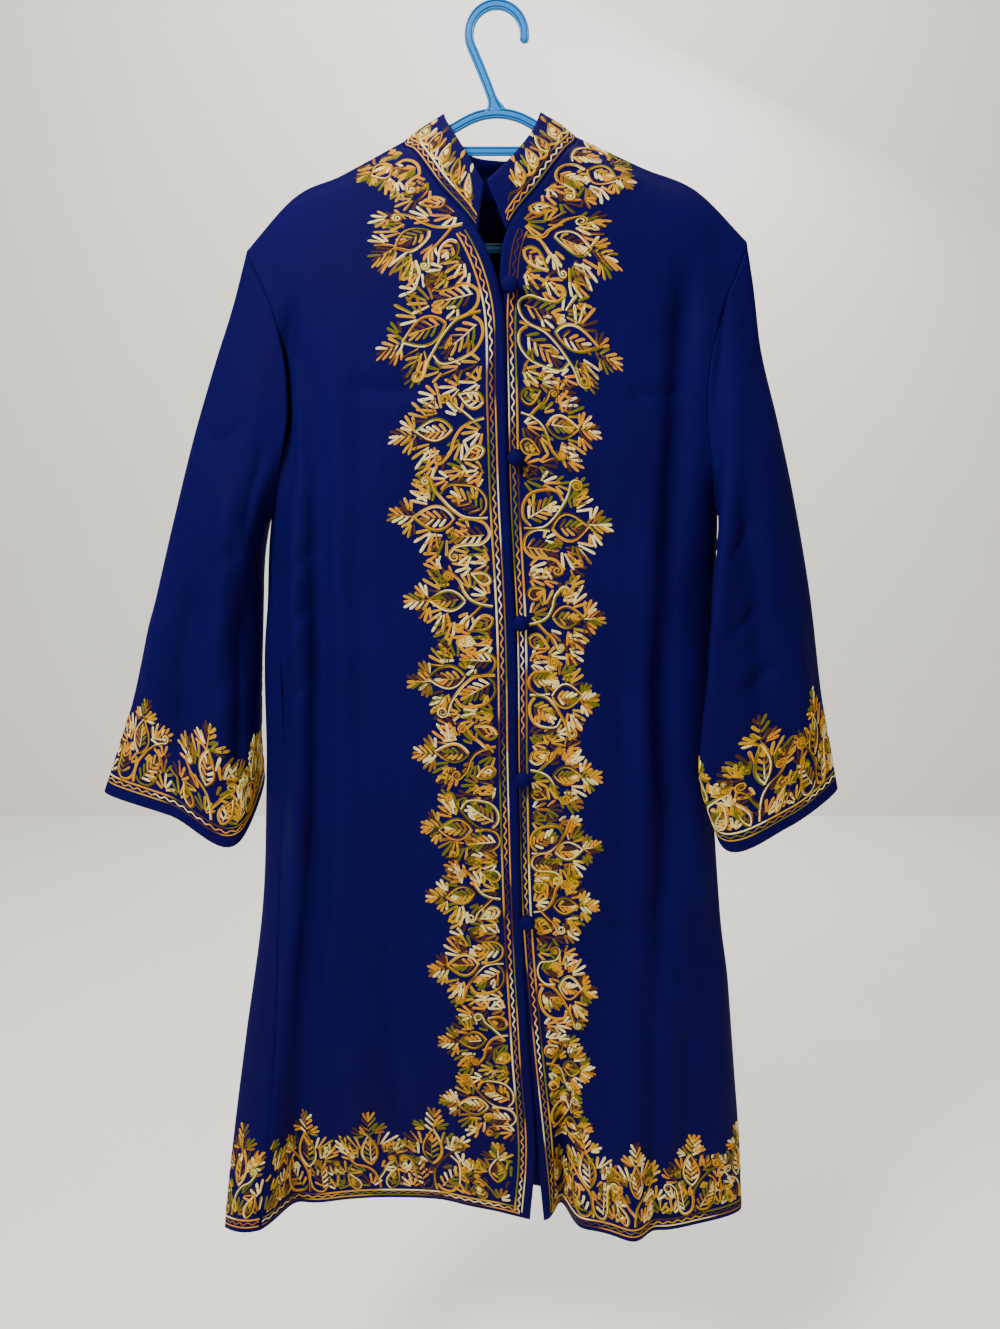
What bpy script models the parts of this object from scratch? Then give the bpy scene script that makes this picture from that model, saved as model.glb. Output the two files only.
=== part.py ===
"""Embroidered knee-length coat on a moulded hanger, as open walls of cloth at real size.

Metres, +Z up, front towards -Y. The origin is the hanging point, the inside top of the hook.
The tables of sections are in millimetres, and "left" and "right" in names are the wearer's.
"""

import math

import bpy
import numpy as np

MM = 0.001

# Cloth
WALL = 1.5 * MM
SEAM_GAP = 0.3 * MM
SEAM_INSET = 0.5 * MM
SIDE_INSET = 0.8 * MM
UNDERARM_INSET = 1.0 * MM
UNDERARM_OUT = 1.3 * MM

# How the cloth eases from one piece into the next, as shares of its own length or width
PAST_SEAM = 0.5
SLEEVE_BLEND = 0.3
EDGE_STEP = 0.04
NECK_EASE = 0.09
SHOULDER_REACH = 9 * MM
UNDERARM_PLACE = 3.1
UNDERARM_SPREAD = 1.1
COAT_MIDDLE_Y = -14 * MM
COLLAR_ROLL = 1.5 * MM
COLLAR_MIDDLE = (-4 * MM, COAT_MIDDLE_Y, 0.0)

# Hanger
BAND_WIDTH = 9.0 * MM
BAND_THICKNESS = 5.0 * MM
BAND_EDGE = 1.2 * MM
HOOK_RADIUS = 26.5 * MM
HOOK_CENTRE_Z = -22.0 * MM
HOOK_TIP_ANGLE = -18.0
HOOK_END_ANGLE = 205.0
HOOK_STEPS = 24
HOOK_SHARE = 0.98
STEM_FOOT_X = -1.5 * MM
STEM_FOOT_Z = -88.0 * MM
STEM_LEAN = 25.0
STEM_LEAN_PULL = 30 * MM
STEM_FALL_PULL = 26 * MM
STEM_STEPS = 8
ARCH_TOP_Z = -91.7 * MM
ARCH_RADIUS = 65.0 * MM
ARCH_SLOPE = 0.60
ARCH_STEPS = 7
ARM_START = 60 * MM
ARM_SLOPE = 0.475
ARM_REACH = 198.0 * MM
TIP_SETBACK = 3 * MM
TIP_RADIUS = 7 * MM
TIP_ANGLES = (62.0, -90.0)
TIP_STEPS = 7
BAR_Z = -216.0 * MM
BAR_END = 182.0 * MM
CROSS_BAR_Z = -126.0 * MM
CROSS_BAR_HEIGHT = 8.5 * MM
CROSS_BAR_THICKNESS = 2.6 * MM
CROSS_BAR_TAPER = 4 * MM
EDGE_ANGLE = 50.0

# Ball buttons and their loops, at these heights down the opening
BUTTON_RADIUS = 8.3 * MM
BUTTON_DEPTH = 6.0 * MM
BUTTON_STEPS = 9
BUTTON_ROUNDS = 16
BALL_SHARE = 0.92
BALL_START = 0.12
NECK_RADIUS = 2.3 * MM
NECK_LENGTH = 4.2 * MM
NECK_SHARE = 0.9
LOOP_CORD = 2.6 * MM
LOOP_ROUND = 4.2 * MM
LOOP_ANGLE = 110.0
LOOP_STEPS = 8
LOOP_TUCK = 3 * SEAM_INSET
LOOP_END_GAP = 0.62 * LOOP_CORD
LOOP_SHOULDER = (0.6 * LOOP_ROUND, 0.86 * LOOP_ROUND)
BUTTON_ROWS = (
    # number, x, z
    (1, 12.3, -262.4),
    (2, 17.9, -420.2),
    (3, 23.6, -579.5),
    (4, 25.6, -737.9),
    (5, 31.0, -890.0),
)

# Over the arms the cloth turns through a small roof: how far forward and down each row steps
ROOF = ((0.0, 0.0), (2.6, 0.8), (4.1, 3.4))

# Rows of a panel with its roof at the collar's corner and the underarm
CORNER_ROW = len(ROOF) + 2
UNDERARM_ROW = len(ROOF) + 5

# Sections of the wearer's right front, from the shoulder seam down to the hem
FRONT_COLUMNS = ("edge", "middle", "turn", "side")
RIGHT_FRONT = (
    ((-91, 0, -118.4), (-150, 0, -148.4), (-203, 0, -173.9), (-243.5, -6, -219.5)),
    ((-81, -19, -132), (-146, -14, -163), (-204, -13, -194), (-233, -17, -244)),
    ((-53, -45, -172), (-128, -35, -204), (-197, -27, -236), (-217, -27, -279)),
    ((-17.4, -58, -214.5), (-106, -47, -248), (-183, -38, -286), (-206, -34, -326)),
    ((3.5, -56.5, -268), (-97, -52, -300), (-174, -45, -338), (-204, -36, -371)),
    ((8.5, -54.5, -370), (-95, -54, -386), (-173, -48, -405), (-213, -34, -424)),
    ((11, -53.5, -450), (-95, -55, -456), (-176, -49, -466), (-226, -17, -474)),
    ((17.9, -53.5, -580), (-92, -56, -580), (-182, -50, -580), (-223, -24, -580)),
    ((20.8, -53, -741), (-92, -56, -741), (-184, -50, -741), (-221, -27, -741)),
    ((25.4, -52, -891), (-92, -54, -891), (-190, -48, -891), (-230, -30, -891)),
    ((33.5, -49, -1040), (-85, -46, -1040), (-196, -40, -1040), (-238, -36, -1040)),
    ((41.3, -41, -1172), (-80, -26, -1168), (-204, -24, -1168), (-250, -46, -1168)),
    ((36.4, -33, -1250), (-72, -8, -1243), (-205, -10, -1249), (-258, -57, -1242)),
)

# Sections of the wearer's left front, which lies under the right one at the opening
LEFT_FRONT = (
    ((77, 0, -113.9), (140, 0, -141.4), (196, 0, -164.4), (243, -6, -211)),
    ((68, -18, -130), (136, -14, -157), (196, -13, -186), (235, -16, -238)),
    ((40, -41, -170), (119, -34, -199), (189, -27, -230), (219, -26, -276)),
    ((9.1, -52.5, -212.7), (100, -46, -243), (180, -38, -281), (208, -33, -323)),
    ((1.5, -52, -268), (95, -51, -299), (174, -45, -335), (205, -35, -368)),
    ((2, -51, -370), (94, -52, -386), (173, -48, -405), (212, -33, -424)),
    ((3.6, -50.5, -450), (94, -52, -456), (174, -48, -466), (222, -14, -474)),
    ((10.5, -50.5, -580), (98, -52, -580), (172, -42, -580), (222, -6, -580)),
    ((13, -50, -741), (98, -52, -741), (172, -42, -741), (227, -4, -741)),
    ((17.7, -49, -891), (102, -51, -891), (182, -43, -891), (240, -3, -891)),
    ((30.5, -45, -1040), (110, -50, -1040), (192, -44, -1040), (257, -3, -1040)),
    ((44.2, -36, -1172), (118, -50, -1168), (202, -45, -1168), (271, -3, -1168)),
    ((51.9, -30, -1254), (122, -52, -1250), (212, -44, -1249), (277, -4, -1253)),
)

# Sections of the back between the two side seams; row 0 is the shoulder and neck line
BACK_COLUMNS = ("right_seam", "right_turn", "right", "middle", "left", "left_turn", "left_seam")
BACK = (
    ((-243.5, -6, -219.5), (-203, 0, -173.9), (-91, 0, -118.4), (-5, 21, -168),
     (77, 0, -113.9), (196, 0, -164.4), (243, -6, -211)),
    ((-233, 9, -244), (-200, 12, -198), (-92, 15, -150), (-5, 23, -180),
     (80, 15, -148), (194, 12, -190), (235, 10, -238)),
    ((-219, 15, -279), (-188, 18, -243), (-92, 22, -215), (-5, 24, -220),
     (82, 22, -214), (184, 18, -238), (221, 15, -276)),
    ((-209, 18, -326), (-176, 21, -300), (-92, 24, -285), (-5, 24, -285),
     (84, 24, -285), (174, 21, -298), (211, 18, -323)),
    ((-207, 18, -371), (-174, 22, -355), (-92, 24, -348), (-5, 23, -348),
     (84, 24, -348), (172, 22, -354), (208, 18, -368)),
    ((-215, 14, -424), (-178, 21, -416), (-92, 24, -412), (-5, 22, -412),
     (84, 24, -412), (175, 21, -416), (214, 14, -424)),
    ((-226, -16, -475), (-218, 12, -474), (-112, 23, -470), (-5, 21, -470),
     (100, 23, -470), (205, 16, -474), (222, -13, -475)),
    ((-223, -24, -580), (-238, -4, -580), (-136, 23, -580), (-5, 21, -580),
     (112, 24, -580), (206, 17, -580), (222, -6, -580)),
    ((-221, -27, -741), (-244, -6, -741), (-144, 24, -741), (-5, 20, -741),
     (116, 25, -741), (210, 18, -741), (227, -4, -741)),
    ((-230, -30, -891), (-253, -8, -891), (-150, 25, -891), (-5, 20, -891),
     (122, 26, -891), (220, 20, -891), (240, -3, -891)),
    ((-238, -36, -1040), (-275, -14, -1040), (-160, 24, -1040), (-5, 21, -1040),
     (130, 27, -1040), (232, 22, -1040), (257, -3, -1040)),
    ((-250, -46, -1168), (-292, -26, -1168), (-168, 24, -1168), (-5, 22, -1168),
     (136, 27, -1168), (244, 22, -1168), (271, -3, -1168)),
    ((-258, -57, -1242), (-300, -42, -1253), (-172, 26, -1250), (-5, 24, -1248),
     (140, 28, -1250), (250, 22, -1252), (277, -4, -1253)),
)

# Closed sections of the sleeves, from just below the armhole down to the cuff, and how many
# columns are repeated past each end of a section to close it
LAP_BEFORE = 2
LAP_AFTER = 3
SLEEVE_COLUMNS = ("outer", "front", "fold", "inner", "back")
RIGHT_SLEEVE = (
    ((-243.5, -6, -219.5), (-206, -34, -326), (-213, -34, -424), (-226, -17, -474), (-208, 18, -345)),
    ((-257, -10, -268), (-226, -37, -352), (-226, -35, -448), (-233, -13, -487), (-226, 18, -366)),
    ((-277, -12, -324), (-249, -39, -400), (-240, -37, -486), (-239, -11, -512), (-248, 17, -406)),
    ((-300, -13, -391), (-274, -40, -456), (-248, -38, -540), (-241, -8, -556), (-272, 14, -458)),
    ((-323.5, -14, -470), (-295, -40, -524), (-253, -37, -596), (-244, -6, -606), (-294, 12, -520)),
    ((-354.5, -15, -581), (-318, -39, -622), (-256, -36, -672), (-247.5, -4, -664), (-316, 10, -612)),
    ((-377, -16, -664), (-333, -37, -698), (-259, -34, -740), (-249.5, -2, -710), (-328, 9, -684)),
    ((-412.5, -18, -762), (-340, -33, -784), (-268, -31, -811), (-249.5, 3, -757), (-340, 8, -762)),
)
LEFT_SLEEVE = (
    ((243, -6, -211), (208, -33, -323), (212, -33, -424), (222, -14, -474), (210, 18, -345)),
    ((249.5, -10, -250), (228, -37, -352), (220, -38, -448), (226.5, -25, -484), (226, 17, -362)),
    ((259, -13, -312), (246, -43, -404), (219, -49, -500), (225, -36, -520), (244, 12, -404)),
    ((278, -14, -380), (262, -47, -462), (215, -55, -556), (221, -43, -570), (260, 8, -462)),
    ((296, -15, -450), (276, -49, -530), (211, -58, -618), (216, -47, -626), (272, 4, -528)),
    ((318, -16, -552), (290, -49, -616), (206, -58, -682), (210, -48, -684), (286, 0, -612)),
    ((336, -17, -662), (302, -48, -708), (206, -57, -742), (211, -46, -736), (300, -3, -700)),
    ((357, -19, -758), (300, -46, -792), (229, -52, -808), (223, -40, -788), (298, -6, -778)),
)

# Stand collar: the neckline it is sewn to and its top edge, from the right front end to the left
COLLAR_COLUMNS = ("foot", "top")
COLLAR = (
    ((-17.4, -58, -214.5), (-11.8, -55, -171.5)),
    ((-53, -45, -172), (-29.6, -40, -138)),
    ((-81, -19, -132), (-46, -16, -107)),
    ((-91, 0, -118.4), (-51, 0, -93)),
    ((-76, 12, -134), (-46, 12, -108)),
    ((-40, 19, -158), (-28, 16, -124)),
    ((-5, 21, -168), (-4, 17, -129)),
    ((32, 19, -157), (20, 14, -128)),
    ((66, 12, -132), (38, 10, -108)),
    ((77, 0, -113.9), (42, 0, -91)),
    ((68, -18, -130), (34, -15, -112)),
    ((40, -41, -170), (15, -35, -141)),
    ((9.1, -52.5, -212.7), (-9.5, -48, -167)),
)
NECK_ROW = 3

# Hanging folds; a depth above nought goes back, and the share is how deep the fold starts
FOLDS = (
    # panel, depth, half width, share, line it follows
    ("right_front", 9, 13, 0.35,
     ((-193, -300), (-172, -450), (-172, -580), (-178, -780), (-205, -1000), (-232, -1250))),
    ("right_front", -5, 12, 0.5, ((-192, -460), (-194, -640), (-214, -900), (-262, -1250))),
    ("right_front", 12, 20, 0.0, ((-220, -1000), (-229, -1250))),
    ("right_front", -4, 26, 0.3, ((-60, -560), (-50, -900), (-30, -1250))),
    ("left_front", 8, 13, 0.5,
     ((186, -250), (176, -400), (168, -600), (178, -800), (168, -1000), (168, -1100))),
    ("left_front", 36, 11, 0.0, ((72, -1010), (73, -1250))),
    ("left_front", -16, 24, 0.0, ((146, -1000), (150, -1250))),
    ("back", 6, 20, 0.3, ((-70, -330), (-84, -700), (-110, -1250))),
    ("back", -9, 22, 0.2, ((40, -420), (52, -800), (66, -1250))),
    ("back", 6, 24, 0.2, ((-150, -420), (-176, -800), (-210, -1250))),
    ("back", -8, 18, 0.2, ((150, -500), (172, -850), (196, -1250))),
)
FOLD_EASE_ABOVE = 40
FOLD_EASE_LENGTH = 90

# How finely each piece is divided, and where a front's columns lie closest
FRONT_STEPS = 15
RIGHT_FOCUS = 0.7
LEFT_FOCUS = 0.35
FOCUS_STRENGTH = 1.2
FOCUS_WIDTH = 0.16
FINE_STEPS = 400
NECK_ROWS = 6
ARMHOLE_ROWS = 6
SKIRT_ROWS = 17
BACK_SIDE_STEPS = 7
BACK_NECK_STEPS = 12
SLEEVE_ROWS = 14
COLLAR_ROWS = 3
FACE_COLUMNS = 50
FACE_ROWS = 600
FACE_ACROSS = 0.4
FACE_BELOW = 0.05
EDGE_ROWS = 900

BUTTON_WELD = 0.00005
PLATE_WELD = 0.00002

# Colours and how rough each surface is
CLOTH_BLUE = (0.008, 0.012, 0.13, 1.0)
COLLAR_BLUE = (0.010, 0.014, 0.15, 1.0)
BUTTON_BLUE = (0.012, 0.018, 0.17, 1.0)
HANGER_BLUE = (0.10, 0.42, 0.85, 1.0)
CLOTH_ROUGHNESS = 0.72
BUTTON_ROUGHNESS = 0.66
HANGER_ROUGHNESS = 0.35


def clear_scene():
    for thing in list(bpy.data.objects):
        bpy.data.objects.remove(thing, do_unlink=True)


def material(name, colour, roughness):
    made = bpy.data.materials.new(name)
    made.use_nodes = True
    shader = made.node_tree.nodes["Principled BSDF"]
    shader.inputs["Base Color"].default_value = colour
    shader.inputs["Roughness"].default_value = roughness
    shader.inputs["Metallic"].default_value = 0.0
    return made


def knots(table):
    """Places of the table's rows along it, from 0 to 1, by their mean spacing."""
    steps = np.linalg.norm(np.diff(table, axis=0), axis=2).mean(axis=1)
    along = np.concatenate([[0.0], np.cumsum(steps)])
    return along / along[-1]


def weights(places, at):
    """Matrix of a smooth curve through values at these places: at x places."""
    places, at = np.asarray(places, float), np.asarray(at, float)
    count = len(places)
    slopes = np.zeros((count, count))
    for i in range(count):
        before, after = max(i - 1, 0), min(i + 1, count - 1)
        if before == i or after == i:
            slopes[i, after], slopes[i, before] = 1.0, -1.0
            slopes[i] /= places[after] - places[before]
            continue
        left, right = places[i] - places[before], places[after] - places[i]
        slopes[i, after] += left / right
        slopes[i, i] += right / left - left / right
        slopes[i, before] -= right / left
        slopes[i] /= left + right
    cell = np.clip(np.searchsorted(places, at, side="right") - 1, 0, count - 2)
    width = places[cell + 1] - places[cell]
    s = (at - places[cell]) / width
    made = np.zeros((len(at), count))
    rows = np.arange(len(at))
    made[rows, cell] += 2 * s**3 - 3 * s**2 + 1
    made[rows, cell + 1] += 3 * s**2 - 2 * s**3
    made += ((s**3 - 2 * s**2 + s) * width)[:, None] * slopes[cell]
    made += ((s**3 - s**2) * width)[:, None] * slopes[cell + 1]
    return made


def with_roof(sections, backwards):
    """A panel's sections in metres, the first carried over the arm in small steps."""
    sections = np.array(sections, float)
    roof = [sections[0] + np.array([0.0, out if backwards else -out, -down]) for out, down in ROOF]
    return np.concatenate([roof, sections[1:]]) * MM


def column_of(table, labels, label):
    """The column of a table of sections that has this label."""
    return table[:, labels.index(label)]


def beyond(last, turn, neighbour):
    """The column past a seam: straight on at an armhole, and the next panel's turn below it."""
    column = last + (last - turn) * PAST_SEAM
    column[UNDERARM_ROW + 1 :] = neighbour[UNDERARM_ROW + 1 :]
    column[UNDERARM_ROW] = (column[UNDERARM_ROW] + neighbour[UNDERARM_ROW]) / 2
    return column[:, None]


class Panel:
    """A smooth surface through a table of sections, u across it and v down it."""

    def __init__(self, name, table, first=None, last=None):
        self.name = name
        columns = [column for column in (first, table, last) if column is not None]
        self.wide = np.concatenate(columns, axis=1)
        places = knots(self.wide.transpose(1, 0, 2))
        start = 1 if first is not None else 0
        own = slice(start, start + table.shape[1])
        low, high = places[own][0], places[own][-1]
        self.places = (places - low) / (high - low)
        self.columns = self.places[own]
        self.rows = knots(table)

    def grid(self, across, along):
        down = weights(self.rows, along)
        sideways = weights(self.places, across)
        return np.einsum("mr,nc,rck->mnk", down, sideways, self.wide)

    def line(self, column, along):
        """Points down one of the panel's own columns."""
        return self.grid([self.columns[column]], along)[:, 0]


def fold_shift(panel, points):
    """How far the panel's folds move these points back."""
    moved = np.zeros(points.shape[:-1])
    x, z = points[..., 0] / MM, points[..., 2] / MM
    for name, depth, width, share, line in FOLDS:
        if name != panel:
            continue
        line = np.array(line, float)[::-1]
        middle = np.interp(z, line[:, 1], line[:, 0])
        top, bottom = line[-1, 1], line[0, 1]
        run = np.clip((top - z) / (top - bottom), 0, 1)
        fade = np.clip((top + FOLD_EASE_ABOVE - z) / FOLD_EASE_LENGTH, 0, 1)
        strength = (share + (1 - share) * run) * fade**2 * (3 - 2 * fade)
        moved += depth * MM * strength * np.exp(-(((x - middle) / width) ** 2))
    return moved


def uneven(count, focus):
    """Fractions from 0 to 1, closer together round the focus."""
    even = np.linspace(0, 1, FINE_STEPS)
    density = 1 + FOCUS_STRENGTH * np.exp(-(((even - focus) / FOCUS_WIDTH) ** 2))
    along = np.concatenate([[0.0], np.cumsum((density[1:] + density[:-1]) / 2)])
    return np.interp(np.linspace(0, 1, count), along / along[-1], even)


def rows_down(panel):
    """Rows of a panel's grid: the roof's own, then even ones to the neck corner, underarm and hem."""
    corner, deep = panel.rows[CORNER_ROW], panel.rows[UNDERARM_ROW]
    return np.concatenate([
        panel.rows[: len(ROOF)],
        np.linspace(panel.rows[len(ROOF) - 1], corner, NECK_ROWS + 1)[1:],
        np.linspace(corner, deep, ARMHOLE_ROWS + 1)[1:],
        np.linspace(deep, 1, SKIRT_ROWS + 1)[1:],
    ])


def drawn_back(edge, inner, by):
    """An edge of a grid, moved this far towards the line next to it."""
    way = inner - edge
    return edge + way / np.linalg.norm(way, axis=-1, keepdims=True) * by


def sheet(name, grid, closed, collection, cloth, outward):
    """One wall of cloth from a grid of points; outward gives the point that each face looks away from."""
    rows, columns = grid.shape[:2]
    faces = []
    for i in range(rows - 1):
        for j in range(columns if closed else columns - 1):
            k = (j + 1) % columns
            faces.append((i * columns + j, i * columns + k, (i + 1) * columns + k, (i + 1) * columns + j))
    mesh = bpy.data.meshes.new(name)
    mesh.from_pydata(grid.reshape(-1, 3).tolist(), [], faces)
    mesh.update()
    facing = sum(
        face.normal.dot(face.center - outward(face.center)) * face.area for face in mesh.polygons
    )
    if facing < 0:
        mesh.flip_normals()
    mesh.shade_smooth()
    mesh.materials.append(cloth)
    made = bpy.data.objects.new(name, mesh)
    collection.objects.link(made)
    wall = made.modifiers.new("wall", "SOLIDIFY")
    wall.thickness = WALL
    wall.offset = 0.0
    wall.use_even_offset = False
    return made


def spine(centre):
    """The point of the coat's inner middle that a face of a panel looks away from."""
    return type(centre)((0.0, COAT_MIDDLE_Y, centre[2]))


def front_edge(panel, column, along):
    """One of a panel's columns with its folds, as the pieces sewn to it follow it."""
    points = panel.line(column, along)
    points[..., 1] += fold_shift(panel.name, points)
    return points


def front(panel, focus, collection, cloth):
    grid = panel.grid(uneven(FRONT_STEPS, focus), rows_down(panel))
    grid[..., 1] += fold_shift(panel.name, grid)
    grid[:, -1] = drawn_back(grid[:, -1], grid[:, -2], SIDE_INSET)
    grid[0] = drawn_back(grid[0], grid[1], SEAM_GAP)
    sheet(panel.name, grid, False, collection, cloth, spine)


def back_neck(count):
    """Points of the back neckline from the right shoulder to the left, and their collar rows."""
    table = np.array(COLLAR, float) * MM
    last = len(COLLAR) - 1
    foot = column_of(table, COLLAR_COLUMNS, "foot")[NECK_ROW : last - NECK_ROW + 1]
    steps = np.linalg.norm(np.diff(foot, axis=0), axis=1)
    places = np.concatenate([[0.0], np.cumsum(steps)]) / steps.sum()
    even = np.linspace(0, 1, count + 1)
    eased = even - NECK_EASE * np.sin(2 * np.pi * even)
    points = weights(places, eased) @ foot
    for end in (foot[0], foot[-1]):
        away = np.clip(points[:, 1] / (ROOF[-1][0] * MM), 0, 1)
        near = np.linalg.norm(points - end, axis=1) < SHOULDER_REACH
        kept = end[2] - ROOF[-1][1] * MM * away**2
        points[near, 2] = np.maximum(points[near, 2], kept[near])
    return points, NECK_ROW + np.interp(eased, places, range(len(foot)))


def joined_to_front(grid, along, shares, panel, front_panel, column):
    """Below the underarm, moves the back's side edge onto the front's own side line."""
    rows = np.interp(along, panel.rows, front_panel.rows)
    aim = front_edge(front_panel, -1, rows)
    eased = shares * shares * (3 - 2 * shares)
    below = along >= panel.rows[UNDERARM_ROW]
    moved = (aim - grid[:, column]) * below[:, None]
    return grid + moved[:, None] * eased[None, :, None]


def back(panel, right_front, left_front, collection, cloth):
    right_neck = panel.columns[BACK_COLUMNS.index("right")]
    left_neck = panel.columns[BACK_COLUMNS.index("left")]
    neck_points, _ = back_neck(BACK_NECK_STEPS)
    span = np.concatenate([[0.0], np.cumsum(np.linalg.norm(np.diff(neck_points, axis=0), axis=1))])
    shoulder = np.linspace(0, 1, BACK_SIDE_STEPS + 1)
    across = np.concatenate([
        shoulder[:-1] * right_neck,
        right_neck + (left_neck - right_neck) * span / span[-1],
        left_neck + (1 - left_neck) * shoulder[1:],
    ])
    top = np.concatenate([
        right_front.grid(1 - shoulder[:-1], [0.0])[0],
        neck_points,
        left_front.grid(shoulder[1:], [0.0])[0],
    ])
    along = rows_down(panel)
    grid = panel.grid(across, along)
    fade = np.clip(1 - along / panel.rows[len(ROOF) + 1], 0, 1)
    fade = fade * fade * (3 - 2 * fade)
    grid += (top - grid[0])[None] * fade[:, None, None]
    grid[..., 1] += fold_shift(panel.name, grid)
    right_turn = panel.columns[BACK_COLUMNS.index("right_turn")]
    left_turn = panel.columns[BACK_COLUMNS.index("left_turn")]
    shares = np.clip(1 - across / right_turn, 0, 1)
    grid = joined_to_front(grid, along, shares, panel, right_front, 0)
    shares = np.clip(1 - (1 - across) / (1 - left_turn), 0, 1)
    grid = joined_to_front(grid, along, shares, panel, left_front, -1)
    grid[:, 0] = drawn_back(grid[:, 0], grid[:, 1], SIDE_INSET)
    grid[:, -1] = drawn_back(grid[:, -1], grid[:, -2], SIDE_INSET)
    grid[0] = drawn_back(grid[0], grid[1], SEAM_GAP)
    sheet(panel.name, grid, False, collection, cloth, spine)


def neck_of_front(panel):
    """A front's neck edge from the shoulder to the corner, and how far along each point is."""
    along = rows_down(panel)[: len(ROOF) + NECK_ROWS]
    marks = panel.rows[[0, len(ROOF), len(ROOF) + 1, CORNER_ROW]]
    steps = np.interp(along, marks, range(NECK_ROW + 1))
    return front_edge(panel, 0, along), steps


def collar(right_front, left_front, collection, cloth):
    """A strip from the neckline to the top edge, with a slight roll outwards between them."""
    top_line = column_of(np.array(COLLAR, float), COLLAR_COLUMNS, "top") * MM
    last = len(COLLAR) - 1
    right_points, right_steps = neck_of_front(right_front)
    left_points, left_steps = neck_of_front(left_front)
    back_points, back_rows = back_neck(BACK_NECK_STEPS)
    foot = np.concatenate([right_points[::-1], back_points[1:-1], left_points])
    left_rows = last - NECK_ROW + left_steps
    rows = np.concatenate([NECK_ROW - right_steps[::-1], back_rows[1:-1], left_rows])
    top = weights(range(len(COLLAR)), rows) @ top_line
    foot = drawn_back(foot, top, WALL / 2 + SEAM_INSET)
    out = (foot + top) / 2 - np.array(COLLAR_MIDDLE)
    out[:, 2] = 0.0
    out /= np.linalg.norm(out, axis=1, keepdims=True)
    up = np.linspace(0, 1, COLLAR_ROWS + 1)[:, None, None]
    strip = foot + (top - foot) * up + out * COLLAR_ROLL * np.sin(math.pi * up)
    sheet("collar", strip, False, collection, cloth, spine)


def past_edge(panel, column, along, by):
    """Points this far past a panel's side edge, straight on from it."""
    edge = front_edge(panel, column, along)
    step = EDGE_STEP if panel.columns[column] > 0.5 else -EDGE_STEP
    inner = panel.grid([panel.columns[column] - step], along)[:, 0]
    inner[..., 1] += fold_shift(panel.name, inner)
    return drawn_back(edge, inner, -by)


def armhole(front_panel, back_panel, back_column):
    """Closed line of the armhole, down the front and up the back, with the sleeve column at each point."""
    count = len(ROOF) + NECK_ROWS + ARMHOLE_ROWS
    down = rows_down(front_panel)[:count]
    up = rows_down(back_panel)[: count - 1][:0:-1]
    front_marks = front_panel.rows[[0, len(ROOF) + 2, len(ROOF) + 4, UNDERARM_ROW]]
    back_marks = back_panel.rows[[0, len(ROOF) + 2, UNDERARM_ROW]]
    points = np.concatenate([
        past_edge(front_panel, -1, down, SEAM_GAP),
        past_edge(back_panel, back_column, up, SEAM_INSET),
    ])
    inner, rear = SLEEVE_COLUMNS.index("inner"), SLEEVE_COLUMNS.index("back")
    turns = np.concatenate([
        np.interp(down, front_marks, range(inner + 1)),
        np.interp(up, back_marks, (len(SLEEVE_COLUMNS), rear, inner)),
    ])
    return points, turns


def sleeve(name, sections, front_panel, back_panel, back_column, collection, cloth):
    """A closed tube through the sleeve's sections, a seam's width off the armhole."""
    sections = np.array(sections, float) * MM
    columns = len(SLEEVE_COLUMNS)
    ring = np.concatenate([sections[:, -LAP_BEFORE:], sections, sections[:, :LAP_AFTER]], axis=1)
    places = knots(ring.transpose(1, 0, 2))
    own = places[LAP_BEFORE : LAP_BEFORE + columns + 1]
    hole, turns = armhole(front_panel, back_panel, back_column)
    along = np.linspace(0, 1, SLEEVE_ROWS + 1)
    easing = np.clip(along / SLEEVE_BLEND, 0, 1)[:, None]
    even = np.arange(len(turns)) / len(turns) * columns
    rows = weights(knots(sections), along)
    grid = []
    for row, share in zip(rows, easing):
        mixed = turns + (even - turns) * share
        across = weights(places, np.interp(mixed, range(columns + 1), own))
        grid.append(np.einsum("r,nc,rck->nk", row, across, ring))
    grid = np.array(grid)
    fade = 1 - easing
    fade = fade * fade * (3 - 2 * fade)
    grid += (hole - grid[0])[None] * fade[:, :, None]
    deep = np.exp(-(((turns - UNDERARM_PLACE) / UNDERARM_SPREAD) ** 2))[:, None]
    grid[0] = drawn_back(grid[0], grid[1], SEAM_INSET + UNDERARM_INSET * deep)
    grid[0, :, 0] += math.copysign(UNDERARM_OUT, sections[0, 0, 0]) * deep[:, 0]
    middle = grid.mean(axis=1)
    middle = middle[np.argsort(middle[:, 2])]

    def inside(centre):
        place = [np.interp(centre[2], middle[:, 2], middle[:, k]) for k in range(2)]
        return type(centre)((place[0], place[1], centre[2]))

    sheet(name, grid, True, collection, cloth, inside)


def face_of(panel, x, z):
    """Foremost depth of a panel's outer face round this place."""
    across = np.linspace(0, FACE_ACROSS, FACE_COLUMNS)
    grid = panel.grid(across, np.linspace(FACE_BELOW, 1, FACE_ROWS))
    grid[..., 1] += fold_shift(panel.name, grid)
    near = np.hypot(grid[..., 0] - x, grid[..., 2] - z) < LOOP_ROUND + LOOP_CORD
    return grid[..., 1][near].min() - WALL / 2


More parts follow.
